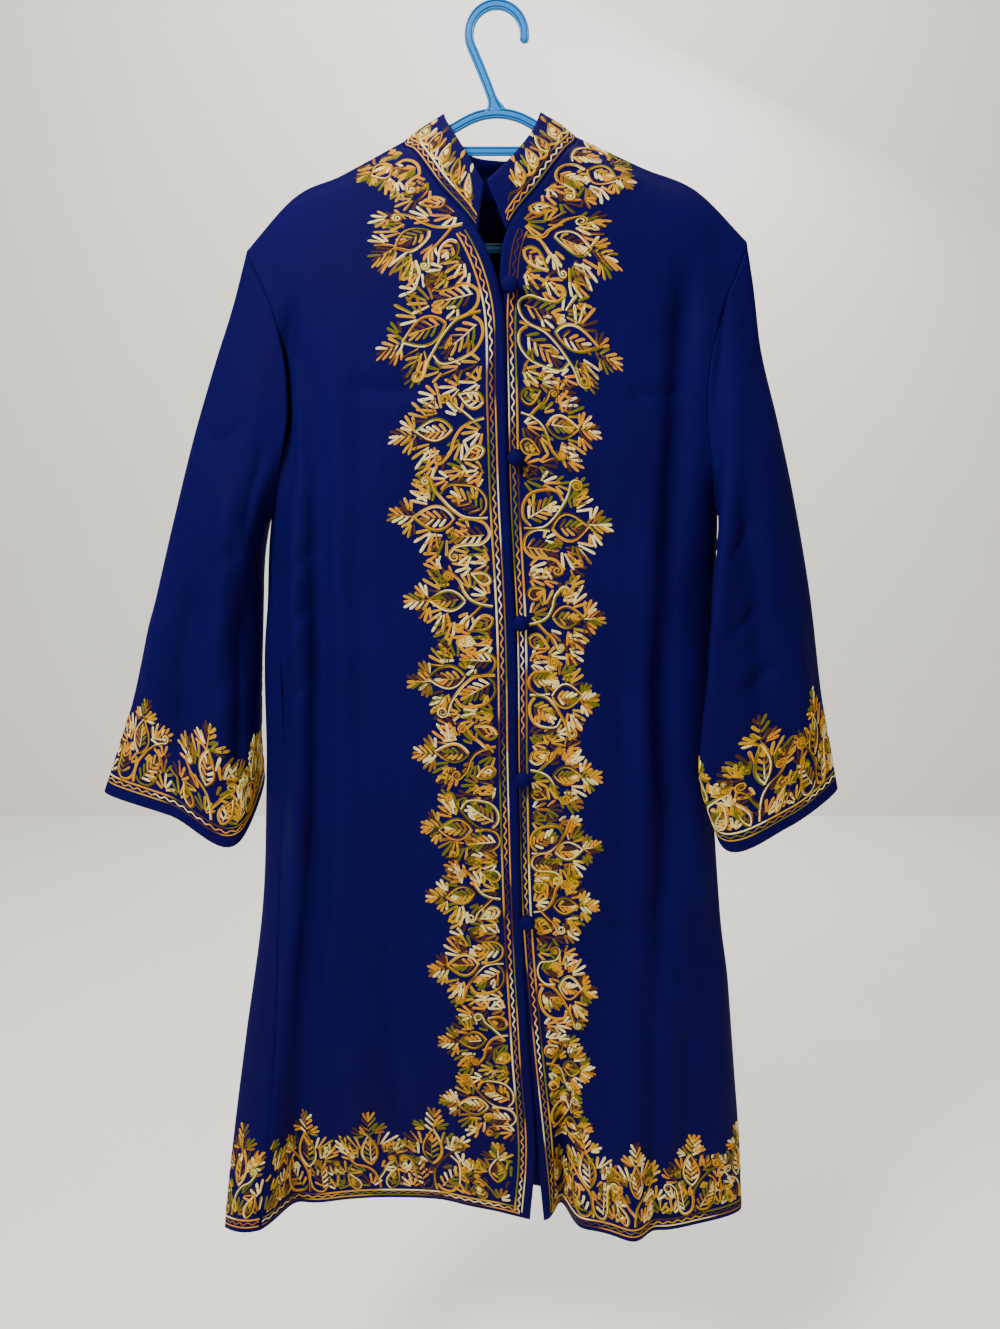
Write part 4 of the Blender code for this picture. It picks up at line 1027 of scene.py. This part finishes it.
def stitched(name, parts, tree, material):
    # One piece of embroidery from (stitches, cloth map) pairs
    points, edges, runs, halves, owners, lifts = [], [], [], [], [], []
    count = 0
    for owner, (work, _) in enumerate(parts):
        for row, run, half, lift in work.rows:
            n = len(row)
            points.append(row * mm)
            edges.append(np.stack([np.arange(n - 1), np.arange(1, n)], 1) + count)
            runs.append(run)
            halves.append(np.full(n, half * mm))
            owners.append(np.full(n, owner, float))
            lifts.append(np.full(n, lift * mm))
            count += n
    flat = np.concatenate(points)
    mesh = bpy.data.meshes.new(name + "Rows")
    flat = np.concatenate([flat, np.zeros((count, 1))], 1)
    mesh.from_pydata(flat.tolist(), np.concatenate(edges).tolist(), [])
    for key, value in (("run", runs), ("half", halves), ("owner", owners), ("lift", lifts)):
        layer = mesh.attributes.new(key, "FLOAT", "POINT")
        layer.data.foreach_set("value", np.concatenate(value).astype(np.float32))
    rows = bpy.data.objects.new(name + "Rows", mesh)
    bpy.context.scene.collection.objects.link(rows)
    made = rows.modifiers.new("yarn", "NODES")
    made.node_group = tree
    inputs = {item.name: item.identifier for item in tree.interface.items_tree if item.in_out == "INPUT"}
    made[inputs["Height share"]] = yarnSizes["heightShare"]
    made[inputs["Round steps"]] = yarnSizes["roundSteps"]
    made[inputs["Yarn"]] = material
    bpy.context.view_layer.update()
    real = bpy.data.meshes.new_from_object(rows.evaluated_get(bpy.context.evaluated_depsgraph_get()))
    bpy.data.objects.remove(rows, do_unlink=True)
    n = len(real.vertices)
    co = np.empty(n * 3, np.float32)
    real.vertices.foreach_get("co", co)
    co = co.reshape(-1, 3).astype(float)
    read = {}
    for key in ("owner", "lift"):
        read[key] = np.empty(n, np.float32)
        real.attributes[key].data.foreach_get("value", read[key])
    co[:, 2] += halfWall - yarnSizes["sunk"] + read["lift"]
    placed = np.empty_like(co)
    for owner, (_, cloth) in enumerate(parts):
        mine = np.round(read["owner"]) == owner
        placed[mine] = cloth.place(co[mine])
    real.vertices.foreach_set("co", placed.astype(np.float32).ravel())
    if parts[0][1].mirrored:
        real.flip_normals()
    real.shade_smooth()
    real.update()
    made = bpy.data.objects.new(name, real)
    bpy.context.scene.collection.objects.link(made)
    print(name, "triangles", sum(len(face.vertices) - 2 for face in real.polygons), flush=True)
    return made


# The coat's cloth: twill with a soft nap, worn a little paler here and there
def clothMaterial():
    look = {
        "blue": (0.0038, 0.0002, 0.054), "deep": (0.0025, 0.0001, 0.036), "worn": (0.0055, 0.0004, 0.071),
        "twill": 5200, "weft": 4100, "drift": 700.0, "grain": 2600.0, "cloud": 9.0,
        "ripple": (34.0, 20.0, 13.0), "rippleHeight": 44, "sheen": 0.03, "shine": 0.03,
    }
    made = Shader("royalBlueWool")
    across, down, _ = made.parts(made.make("ShaderNodeUVMap", {"uv_map": "cloth"}))
    place = made.coordinates()
    drift = made.noise(place, look["drift"], 1.0)
    twill = ((across + down * 0.9) * look["twill"] + drift * 5).sine()
    weft = ((across - down * 0.6) * look["weft"] + drift * 4).sine()
    grain = made.noise(place, look["grain"], 2.0)
    cloud = made.noise(place, look["cloud"], 3.0)
    ripple = made.noise(made.stretched(place, look["ripple"]), 1.0, 2.0)
    relief = twill * 0.4 + weft * 0.2 + grain * 0.7 + ripple * look["rippleHeight"]
    tone = made.mix((twill * 0.30 + 0.5).clamp(), look["deep"], look["blue"])
    tone = made.mix((cloud * 1.5 - 0.45).clamp() * 0.55, tone, look["worn"])
    made.set(
        Base_Color=tone, Roughness=(cloud * 0.18 + 0.62).clamp(), Normal=made.bump(relief, 0.30, 0.0003),
        Sheen_Weight=look["sheen"], Sheen_Roughness=0.4, Sheen_Tint=(0.10, 0.10, 0.95, 1.0),
        Specular_IOR_Level=look["shine"],
    )
    return made.material


# Yarn that changes colour along its length, one chain stitch after another
def yarnMaterial():
    look = {
        "cream": (0.84, 0.68, 0.25), "orange": (0.64, 0.25, 0.0), "olive": (0.130, 0.120, 0.0),
        "brown": (0.055, 0.018, 0.010), "tan": (0.25, 0.105, 0.006), "gold": (0.56, 0.29, 0.0),
        "period": 760.0, "blend": 0.008, "chain": 3.6, "slant": 3.4, "fibre": 3400.0, "shine": 0.12,
    }
    made = Shader("variegatedYarn")
    run = made.attribute("run")
    place = made.coordinates()
    fibre = made.noise(place, look["fibre"], 2.0)
    order = ("cream", "orange", "brown", "olive", "gold", "brown", "orange", "cream", "tan", "olive", "gold")
    stops = []
    for i, name in enumerate(order):
        start, end = i / len(order), (i + 1) / len(order)
        stops += [(start + look["blend"], look[name]), (end - look["blend"], look[name])]
    tone = made.ramp((run / look["period"]).fract(), stops)
    side = made.attribute("side")
    chain = (run * look["chain"] + (side - 0.5).size() * look["slant"]).sine()
    # Painted shade: the yarn is darker between its chain-stitch loops, following the chain's sine, and the
    # fibre noise adds the yarn's own random tone
    loopShadeAndFibre = (chain * 0.16 + 0.78 + fibre * 0.22).clamp()
    tone = made.mix(1.0, tone, made.make("ShaderNodeCombineXYZ", {}, loopShadeAndFibre, loopShadeAndFibre, loopShadeAndFibre), "MULTIPLY")
    relief = made.bump(chain * 0.5 + fibre * 0.6, 0.4, 0.0004)
    made.set(Base_Color=tone, Roughness=fibre * 0.3 + 0.5, Normal=relief, Specular_IOR_Level=look["shine"])
    return made.material


cloth = clothMaterial()
yarn = yarnMaterial()
pieces = {}


def makeShells():
    # Each cloth piece's grid, the points inside it, and whether it closes round
    shapes = {}
    for name, panel in (("right_front", rightPanel), ("left_front", leftPanel)):
        grid = frontGrid(panel)
        shapes[name] = (grid, spine(grid), False)
    grid = backGrid()
    shapes["back"] = (grid, spine(grid), False)
    for name, table, panel, column in (
        ("right_sleeve", rightSleeveTable, rightPanel, 0),
        ("left_sleeve", leftSleeveTable, leftPanel, -1),
    ):
        grid = sleeveGrid(table, panel, column)
        shapes[name] = (grid, core(grid), True)
    grid = collarGrid()
    inner = np.broadcast_to(np.array(collarMiddle), grid.shape).copy()
    inner[..., 2] = grid[..., 2]
    shapes["collar"] = (grid, inner, False)
    return shapes


shapes = makeShells()
surfaces = {}
for name, (grid, inner, closed) in shapes.items():
    grid = creased(name, grid, inner, closed)
    normal = normalsOf(grid, inner, closed)
    surfaces[name] = (grid, normal, closed)
    pieces[name] = shell(name + "Cloth", grid, normal, closed, cloth)
    print(name, "shell", len(pieces[name].data.polygons), flush=True)


mapReach = {"edge": (0.150, 0.002), "foot": (0.06, 0.001), "hem": (0.16, 0.002), "cuff": (0.16, 0.002)}


def placedMap(name, line, seam=0):
    # Where flat embroidery lies on a piece: beside its edge, above its hem or cuff, or over its foot
    grid, normal, closed = surfaces[name]
    if line == "edge":
        return ClothMap(grid, normal, *mapReach[line])
    if closed:
        grid, normal = (np.roll(part, -seam, axis=1) for part in (grid, normal))
        grid, normal = (np.concatenate([part, part[:, :1]], axis=1) for part in (grid, normal))
    if line == "foot":
        return ClothMap(grid.transpose(1, 0, 2), normal.transpose(1, 0, 2), *mapReach[line])
    return ClothMap(grid[::-1].transpose(1, 0, 2), normal[::-1].transpose(1, 0, 2), *mapReach[line])


# Tips of the border's lobes in millimetres: along the front edge from the shoulder, and out from it
borderTips = {
    "right_front": (
        (30, 58), (119.7, 100.7), (213.2, 126), (317.2, 115), (402.8, 117), (486.8, 110), (566.1, 108.4),
        (641.8, 106), (718.3, 101), (790.9, 99.2), (871.6, 100), (956.3, 96), (1034.5, 100),
    ),
    "left_front": (
        (39.3, 74), (125.8, 109.8), (215.3, 126), (306, 101), (406, 107), (498.4, 98), (581.1, 90.2),
        (661.1, 95), (738.2, 92), (799.1, 89), (892.2, 80), (986.4, 75), (1057.6, 76),
    ),
}
# The same along the hem from the front edge, and up from it
hemTips = {
    "right_front": ((36, 96), (102, 136), (177, 134), (256, 124), (327, 112)),
    "left_front": ((34, 92), (95, 120), (152, 112), (226, 106), (282, 111)),
    "back": tuple((33 + 67.4 * i, 112 + 7 * math.cos(2.2 * i)) for i in range(10)),
}
# The same round the cuff, from the sleeve's outer side towards the front
cuffTips = {
    "right_sleeve": ((36, 116), (122, 128), (186, 92)),
    "left_sleeve": ((40, 131), (102, 136), (152, 96)),
}


# Each band in millimetres from the cloth's edge: foot of its leaves, rows that are kept, and its three trims
bandSizes = {
    "border": {"foot": 19.5, "low": 19, "high": 155, "trims": (17.8, 13.8, 9.8), "end": 4.0, "hemFree": 100},
    "hem": {"foot": 14.5, "low": 12, "high": 150, "trims": (12.8, 9.0, 5.2)},
    "cuff": {"foot": 22.0, "low": 20, "high": 155, "trims": (21.0, 17.0, 13.2), "end": 1.5},
    "collar": {"low": 2, "high": 41, "trims": (10.2, 6.6, 3.2), "end": 4.0},
}
# Where the neck's corner lies along the front edge, and how the border is drawn in above it
neckCorner = {"right_front": 137.6, "left_front": 133.7}
neckDraw = {"shift": 15.0, "lead": 4, "fade": 18}


def borderStitches(seed, tips, length, corner):
    # Beside the collar the leaves lie close to the seam, and the trims start at the neck's corner
    sizes, work = bandSizes["border"], Stitches(seed)

    def closer(place):
        return neckDraw["shift"] * smooth((corner + neckDraw["lead"] - place) / neckDraw["fade"])

    lobes(work, [(place, reach + closer(place)) for place, reach in tips], sizes["foot"])
    work.keep((2, sizes["low"]), (length - sizes["hemFree"], sizes["high"]))
    for points, *_ in work.rows:
        points[:, 1] -= closer(points[:, 0])
    trims(work, corner - sizes["end"], length - sizes["end"], *sizes["trims"])
    return work


def hemStitches(seed, tips, start, end, trimsFrom):
    sizes, work = bandSizes["hem"], Stitches(seed)
    lobes(work, tips, sizes["foot"], 1)
    work.keep((start, sizes["low"]), (end, sizes["high"]))
    trims(work, trimsFrom, end, *sizes["trims"])
    return work


def cuffStitches(seed, tips, length, outerAt):
    # The hidden round is filled up with even lobes
    sizes, work = bandSizes["cuff"], Stitches(seed)
    start, usual = 12, 74
    front = [(outerAt + place, height) for place, height in tips if outerAt + place < length - 20]
    count = max(1, round((front[0][0] - start) / usual))
    pitch = (front[0][0] - start) / count
    behind = [(start + pitch * i, 118 + 6 * math.cos(2.4 * i)) for i in range(count)]
    lobes(work, behind + front, sizes["foot"], 1)
    work.keep((0.5, sizes["low"]), (length - 0.5, sizes["high"]))
    trims(work, sizes["end"], length - sizes["end"], *sizes["trims"])
    return work


def collarStitches(seed, length):
    # A wavy vine with a paisley and a bud at each turn, leaning towards the front opening
    sizes, work = bandSizes["collar"], Stitches(seed)
    rng = work.rng
    pitch, start, end = 24.5, 13, length - 13
    vine = np.arange(start, end, 2.4)
    work.skip()
    doubled(work, np.stack([vine, 14.0 + 2.2 * np.cos(vine * 2 * math.pi / pitch)], 1), 1.4, 0.75)
    for i in range(int((end - start) / pitch)):
        x = start + (i + 0.5) * pitch
        lean = 17 if x < length / 2 else -17
        foot, way = np.array((x - lean * 0.25, 13.0)), 1 if lean > 0 else -1
        paisley(work, foot, lean, rng.uniform(19, 21.5), 11.5, way)
        bud(work, turned([(0, 21.5)], (x - lean * 0.2, 13.0), lean * 1.1)[0], lean * 1.4, 7.5)
        work.skip()
        for side in (-1, 1):
            finger(work, np.array((x + pitch / 2, 15.5)), lean + side * 20, 13.5, 3.6, side * 1.2)
        finger(work, np.array((x + pitch / 2, 17.5)), lean, 15.0, 3.6)
        for side in (-1, 1):
            finger(work, np.array((x + side * 8, 13.5)), lean * 0.4 + side * 34, 8.5, 3.4)
    work.keep((3, sizes["low"]), (length - 3, sizes["high"]))
    trims(work, sizes["end"], length - sizes["end"], *sizes["trims"])
    return work


# Where the hem's leaves and trims start, in millimetres from the front edge and from the back's side seam
hemStart = {"front": (21, 13), "back": (1, 1.5)}
innerColumn = 38  # the sleeve's column at its inner side, where the cuff's band starts
tree = yarnTree()
embroidery = {}
for seed, name in enumerate(("right_front", "left_front"), 5):
    edgeMap, hemMap = placedMap(name, "edge"), placedMap(name, "hem")
    length, wide = edgeMap.length / mm, hemMap.length / mm
    border = borderStitches(seed, borderTips[name], length, neckCorner[name])
    start, trimsFrom = hemStart["front"]
    hem = hemStitches(seed + 40, hemTips[name], start, wide - 1, trimsFrom)
    embroidery[name] = stitched(name + "Embroidery", [(border, edgeMap), (hem, hemMap)], tree, yarn)
hemMap = placedMap("back", "hem")
start, trimsFrom = hemStart["back"]
hem = hemStitches(17, hemTips["back"], start, hemMap.length / mm - 1, trimsFrom)
embroidery["back"] = stitched("backEmbroidery", [(hem, hemMap)], tree, yarn)
for seed, name in enumerate(("right_sleeve", "left_sleeve"), 23):
    cuffMap = placedMap(name, "cuff", innerColumn)
    ring = surfaces[name][0][-1]
    outerAt = runLengths(np.concatenate([ring[innerColumn:], ring[:1]]))[-1] / mm
    cuff = cuffStitches(seed, cuffTips[name], cuffMap.length / mm, outerAt)
    embroidery[name] = stitched(name + "Embroidery", [(cuff, cuffMap)], tree, yarn)
footMap = placedMap("collar", "foot")
vine = collarStitches(31, footMap.length / mm)
embroidery["collar"] = stitched("collarEmbroidery", [(vine, footMap)], tree, yarn)


def lamp(name, place, aim, size, power, colour=(1, 1, 1)):
    # A round soft lamp, turned to shine at its aim
    light = bpy.data.lights.new(name, "AREA")
    light.shape, light.size = "DISK", size
    light.energy, light.color = power, colour
    made = bpy.data.objects.new(name, light)
    made.location = place
    away = np.array(aim, float) - np.array(place, float)
    flat = math.hypot(away[0], away[1])
    made.rotation_euler = (math.atan2(flat, -away[2]), 0.0, math.atan2(-away[0], away[1]))
    bpy.context.scene.collection.objects.link(made)
    return made


def stage():
    # Plain floor and wall, a pale surround and the lamps
    pale = Shader("palePlaster")
    place = pale.coordinates()
    mottle = pale.noise(place, 2.2, 3.0)
    tone = pale.mix(mottle * 0.6 + 0.2, (0.87, 0.84, 0.78), (0.79, 0.76, 0.70))
    relief = pale.bump(pale.noise(place, 60.0, 3.0), 0.06, 0.002)
    pale.set(Base_Color=tone, Roughness=mottle * 0.1 + 0.85, Normal=relief, Specular_IOR_Level=0.2)
    across, back, front, floor, top = 7.0, 2.6, -5.0, -1.62, 3.6
    # Each sheet's two long edges: how far back and how high they lie
    sheets = {"floor": ((front, floor), (back, floor)), "backdrop": ((back, floor), (back, top))}
    for name, (near, far) in sheets.items():
        corners = np.array([(-across, *near), (across, *near), (across, *far), (-across, *far)])
        newObject(name, corners, np.array([[0, 1, 2, 3]]), pale.material, False)
    world = bpy.data.worlds.new("studio")
    world.use_nodes = True
    ground = world.node_tree.nodes["Background"]
    ground.inputs["Color"].default_value = (1.0, 0.985, 0.96, 1.0)
    ground.inputs["Strength"].default_value = 0.36
    bpy.context.scene.world = world
    lamp("key", (-1.1, -1.5, 0.95), (0.0, 0.0, -0.25), 0.7, 92)
    lamp("fill", (0.8, -2.4, 0.7), (0.1, 0.0, -0.4), 2.0, 16, (1.0, 0.97, 0.93))
    lamp("wash", (0.0, 0.9, 2.4), (0.0, 2.6, -0.3), 1.8, 95)
    lamp("rear", (1.0, 1.9, 1.5), (0.0, 0.0, -0.6), 1.4, 55)


def camera():
    shot = {"lens": 27.09, "sensor": 36.0, "place": (0.003, -1.036, -0.466), "tilt": 81.0}
    view = bpy.data.cameras.new("photo")
    view.lens, view.sensor_width, view.clip_start = shot["lens"], shot["sensor"], 0.05
    made = bpy.data.objects.new("photo", view)
    made.location = shot["place"]
    made.rotation_euler = (math.radians(shot["tilt"]), 0.0, 0.0)
    bpy.context.scene.collection.objects.link(made)
    bpy.context.scene.camera = made


# A ball button: the cloth is gathered in small pleats towards its neck
def ballButton(name, low, high):
    look = {
        "pleats": 14, "pleatDepth": 0.035, "pleatsFrom": 0.75, "neck": 2.3 * mm, "deep": 6.0 * mm,
        "turned": 0.91, "around": 56, "steps": 30,
    }
    middle = ((low[0] + high[0]) / 2, (low[2] + high[2]) / 2)
    radius, front, back = (high[0] - low[0]) / 2, low[1], high[1]
    turn = np.linspace(0, 2 * math.pi, look["around"], endpoint=False)
    rise = np.linspace(0.0, math.pi * look["turned"], look["steps"])
    wide = np.append(radius * np.sin(rise), look["neck"])
    depth = np.append(front + look["deep"] - look["deep"] * np.cos(rise), back)
    fade = smooth(np.append(rise, math.pi) / math.pi * 2 - look["pleatsFrom"])
    ring = wide[:, None] * (1 + look["pleatDepth"] * fade[:, None] * np.sin(look["pleats"] * turn))
    depths = np.broadcast_to(depth[:, None], ring.shape)
    points = np.stack([middle[0] + ring * np.cos(turn), depths, middle[1] + ring * np.sin(turn)], -1)
    made = newObject(name, points.reshape(-1, 3), quads(len(wide), look["around"], True)[:, ::-1], cloth)
    uvMap(made, np.stack([np.broadcast_to(turn * radius, ring.shape), depths], -1).reshape(-1, 2))
    return made


def tube(points, radius, around, material, name):
    # A round cord along points in an upright plane
    points = np.asarray(points, float)
    way = np.gradient(points, axis=0)
    way /= np.linalg.norm(way, axis=1, keepdims=True)
    out = np.broadcast_to((0.0, -1.0, 0.0), way.shape)
    side = np.cross(way, out)
    side /= np.linalg.norm(side, axis=1, keepdims=True)
    turn = np.linspace(0, 2 * math.pi, around, endpoint=False)
    ring = side[:, None] * np.cos(turn)[None, :, None] + out[:, None] * np.sin(turn)[None, :, None]
    grid = points[:, None] + ring * radius
    made = newObject(name, grid.reshape(-1, 3), quads(len(points), around, True)[:, ::-1], material)
    flat = [np.broadcast_to(part, grid.shape[:2]) for part in (turn * radius, runLengths(points)[:, None])]
    uvMap(made, np.stack(flat, -1).reshape(-1, 2))
    return made


def cordLoop(name, low, high, button):
    # Round the button's neck and back under the lapping edge
    look = {"cord": 1.3 * mm, "bend": 4.2 * mm, "turn": 110, "apart": 1.24, "around": 12, "steps": 48}
    x, z = (button[0][0] + button[1][0]) / 2, (button[0][2] + button[1][2]) / 2
    y, start = (low[1] + high[1]) / 2, low[0]
    turn = np.radians(np.linspace(look["turn"], -look["turn"], 25))
    bend = np.stack([x + look["bend"] * np.cos(turn), np.full(25, y), z + look["bend"] * np.sin(turn)], 1)
    ends = [np.array([(start, y, z + side * look["cord"] * look["apart"])]) for side in (1, -1)]
    points = np.concatenate([ends[0], bend, ends[1]])
    places = runLengths(points)
    line = weights(places, np.linspace(0, places[-1], look["steps"])) @ points
    return tube(line, look["cord"], look["around"], cloth, name)


for number in range(1, 6):
    button, loop = f"button_{number}", f"button_loop_{number}"
    pieces[button] = ballButton(button + "Cloth", *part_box(button))
    pieces[loop] = cordLoop(loop + "Cloth", *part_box(loop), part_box(button))
print("buttons and loops made", flush=True)


# The hanger: one moulding, a band with a raised middle between two grooves, which are darkened with painted
# shade
hangerSizes = {
    "half": 4.5 * mm, "thick": 2.5 * mm, "hookRadius": 26.5 * mm, "hookMiddle": -22.0 * mm, "tipAngle": -18.0,
    "stemFoot": -90.0 * mm, "archTop": -91.7 * mm, "archRadius": 65.0 * mm, "armSlope": 0.475,
    "armReach": 198.0 * mm, "barHeight": -216.0 * mm, "barReach": 192.0 * mm, "crossHeight": -126.0 * mm,
    "crossReach": 62.0 * mm, "flare": 1.5, "flareRise": 14.0 * mm, "neckAngle": 205, "stemSide": -1.5 * mm,
    "stemPull": 30 * mm, "footPull": 26 * mm, "archSlope": 0.60, "archReach": 60 * mm, "cornerFrom": 40.3,
    "cornerRound": 7 * mm, "cornerIn": 3 * mm, "barEnd": 10 * mm, "step": 2.6 * mm,
}
# The band's half section: share of the half width, share of the thickness, and 1 where it is a groove
# darkened with painted shade
bandSection = (
    (0.00, 1.00, 0), (0.38, 1.00, 0), (0.43, 0.97, 0.4), (0.47, 0.74, 1), (0.60, 0.70, 1),
    (0.64, 0.94, 0.4), (0.69, 1.00, 0), (0.86, 1.00, 0), (0.95, 0.88, 0), (1.00, 0.55, 0), (1.00, 0.0, 0),
)


def hookLine():
    # The hook's round, and its stem bent over to the middle of the arch
    sizes = hangerSizes
    angle = np.radians(np.linspace(sizes["tipAngle"], sizes["neckAngle"], 96))
    bow = sizes["hookRadius"] * np.stack([np.cos(angle), np.sin(angle)], 1) + (0, sizes["hookMiddle"])
    foot = np.array((sizes["stemSide"], sizes["stemFoot"]))
    past = math.radians(sizes["neckAngle"] - 180)
    lean = np.array((math.sin(past), -math.cos(past))) * sizes["stemPull"]
    fall = np.array((0.0, -sizes["footPull"]))
    s = np.linspace(0, 1, 40)[1:, None]
    stem = (2 * s**3 - 3 * s**2 + 1) * bow[-1] + (s**3 - 2 * s**2 + s) * lean
    stem += (3 * s**2 - 2 * s**3) * foot + (s**3 - s**2) * fall
    return np.concatenate([bow, stem])


def armLine():
    # Arch, arms and lower bar as one closed round
    sizes = hangerSizes
    steep, bend, radius = sizes["archSlope"], sizes["archReach"], sizes["archRadius"]
    hump = steep / math.hypot(1, steep) * radius
    x = np.linspace(0, hump, 22)
    arch = np.stack([x, sizes["archTop"] - radius + np.sqrt(radius**2 - x * x)], 1)
    endZ = arch[-1, 1] - (bend - hump) * (steep + sizes["armSlope"]) / 2
    armEnd = endZ - (sizes["armReach"] - bend) * sizes["armSlope"]
    turn = (armEnd - sizes["barHeight"]) / 2
    angle = np.radians(np.linspace(sizes["cornerFrom"], -90, 18))
    corner = np.stack([
        sizes["armReach"] + sizes["cornerRound"] * np.cos(angle) - sizes["cornerIn"],
        sizes["barHeight"] + turn + turn * np.sin(angle),
    ], 1)
    half = np.concatenate([arch, [(bend, endZ), (sizes["armReach"], armEnd)], corner])
    half = np.concatenate([half, [(sizes["barReach"] - sizes["barEnd"], sizes["barHeight"])]])
    return np.concatenate([half, (half * (-1, 1))[::-1][:-1]])


def band(name, line, closed, thick=1.0, wide=1.0, taper=False):
    # Sweeps the band's section along a line in the hanger's plane; a tapered one flares at its foot
    places = runLengths(line)
    even = np.linspace(0, places[-1], int(places[-1] / hangerSizes["step"]))
    line = np.stack([np.interp(even, places, line[:, i]) for i in (0, 1)], 1)
    if closed:
        around = np.pad(line, ((6, 6), (0, 0)), mode="wrap")
        line = np.stack([np.convolve(around[:, i], np.ones(5) / 5, "same")[6:-6] for i in (0, 1)], 1)
    way = np.roll(line, -1, axis=0) - np.roll(line, 1, axis=0) if closed else np.gradient(line, axis=0)
    way /= np.linalg.norm(way, axis=1, keepdims=True)
    side = np.stack([-way[:, 1], way[:, 0]], 1)
    half = np.array(bandSection)
    section = np.concatenate([
        half, (half * (1, -1, 1))[-2::-1], (half * (-1, -1, 1))[1:], (half * (-1, 1, 1))[-2:0:-1],
    ])
    across = section[:, 0] * hangerSizes["half"] * wide
    shares = np.ones(len(line))
    if taper:
        near = np.clip(even / hangerSizes["half"], 0, 1)
        shares = np.sqrt(1 - (1 - near) ** 2)
        shares[0] = 0.02
        foot = np.clip(1 - (even[-1] - even) / hangerSizes["flareRise"], 0, 1)
        shares *= 1 + hangerSizes["flare"] * foot**2
    flat = line[:, None] + side[:, None] * across[None, :, None] * shares[:, None, None]
    depth = section[:, 1] * hangerSizes["thick"] * thick * np.minimum(shares * 1.5, 1)[:, None]
    points = np.stack([flat[..., 0], -depth, flat[..., 1]], -1)
    faces = quads(len(line) + closed, len(section), True) % (len(line) * len(section))
    made = newObject(name, points.reshape(-1, 3), faces[:, ::-1], plastic)
    # Each point's groove mark sets how much painted shade the material puts there
    groove = np.broadcast_to(section[:, 2], points.shape[:2]).ravel().astype(np.float32)
    made.data.attributes.new("groove", "FLOAT", "POINT").data.foreach_set("value", groove)
    return made


def hangerMaterial():
    look = {"sky": (0.002, 0.14, 0.43), "pale": (0.008, 0.20, 0.54), "groove": (0.001, 0.030, 0.12)}
    made = Shader("skyBluePlastic")
    place = made.coordinates()
    cloud = made.noise(place, 24.0, 2.0)
    scuffs = made.noise(made.stretched(place, (140.0, 30.0, 900.0)), 3.0, 3.0)
    tone = made.mix((cloud * 1.3 - 0.2).clamp(), look["sky"], look["pale"])
    # Painted shade in the grooves: their points are darkened towards a deep blue
    tone = made.mix(made.attribute("groove") * 0.92, tone, look["groove"])
    made.set(Base_Color=tone, Roughness=scuffs * 0.22 + 0.20, Normal=made.bump(scuffs, 0.05, 0.0004))
    made.set(Specular_IOR_Level=0.3, Coat_Weight=0.05)
    return made.material


plastic = hangerMaterial()
arms = band("hangerArms", armLine(), True)
hook = band("hangerHook", hookLine(), False, 0.98, taper=True)
reach, height = hangerSizes["crossReach"], hangerSizes["crossHeight"]
cross = band("hangerCrossBar", np.array(((-reach, height), (reach, height))), False, 0.52, 0.94)
print("hanger made", flush=True)
stage()
camera()
print("stage and camera set", flush=True)

for name, piece in pieces.items():
    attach(piece, "root")
    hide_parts(name)
for name, piece in embroidery.items():
    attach(piece, "root")
for part in (arms, hook, cross):
    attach(part, "root")
    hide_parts("hanger")
for name, (grid, normal, closed) in surfaces.items():
    ring = np.concatenate([grid, grid[:, :1]], axis=1) if closed else grid
    # The widest row is looked for below the neck and the armhole
    wide = np.linalg.norm(np.diff(ring, axis=1), axis=2).sum(axis=1)[len(ring) // 4 :]
    tall = np.linalg.norm(np.diff(ring, axis=0), axis=2).sum(axis=0)
    diagonals = ring[1:, 1:] - ring[:-1, :-1], ring[1:, :-1] - ring[:-1, 1:]
    area = float(np.linalg.norm(np.cross(*diagonals), axis=-1).sum() / 2)
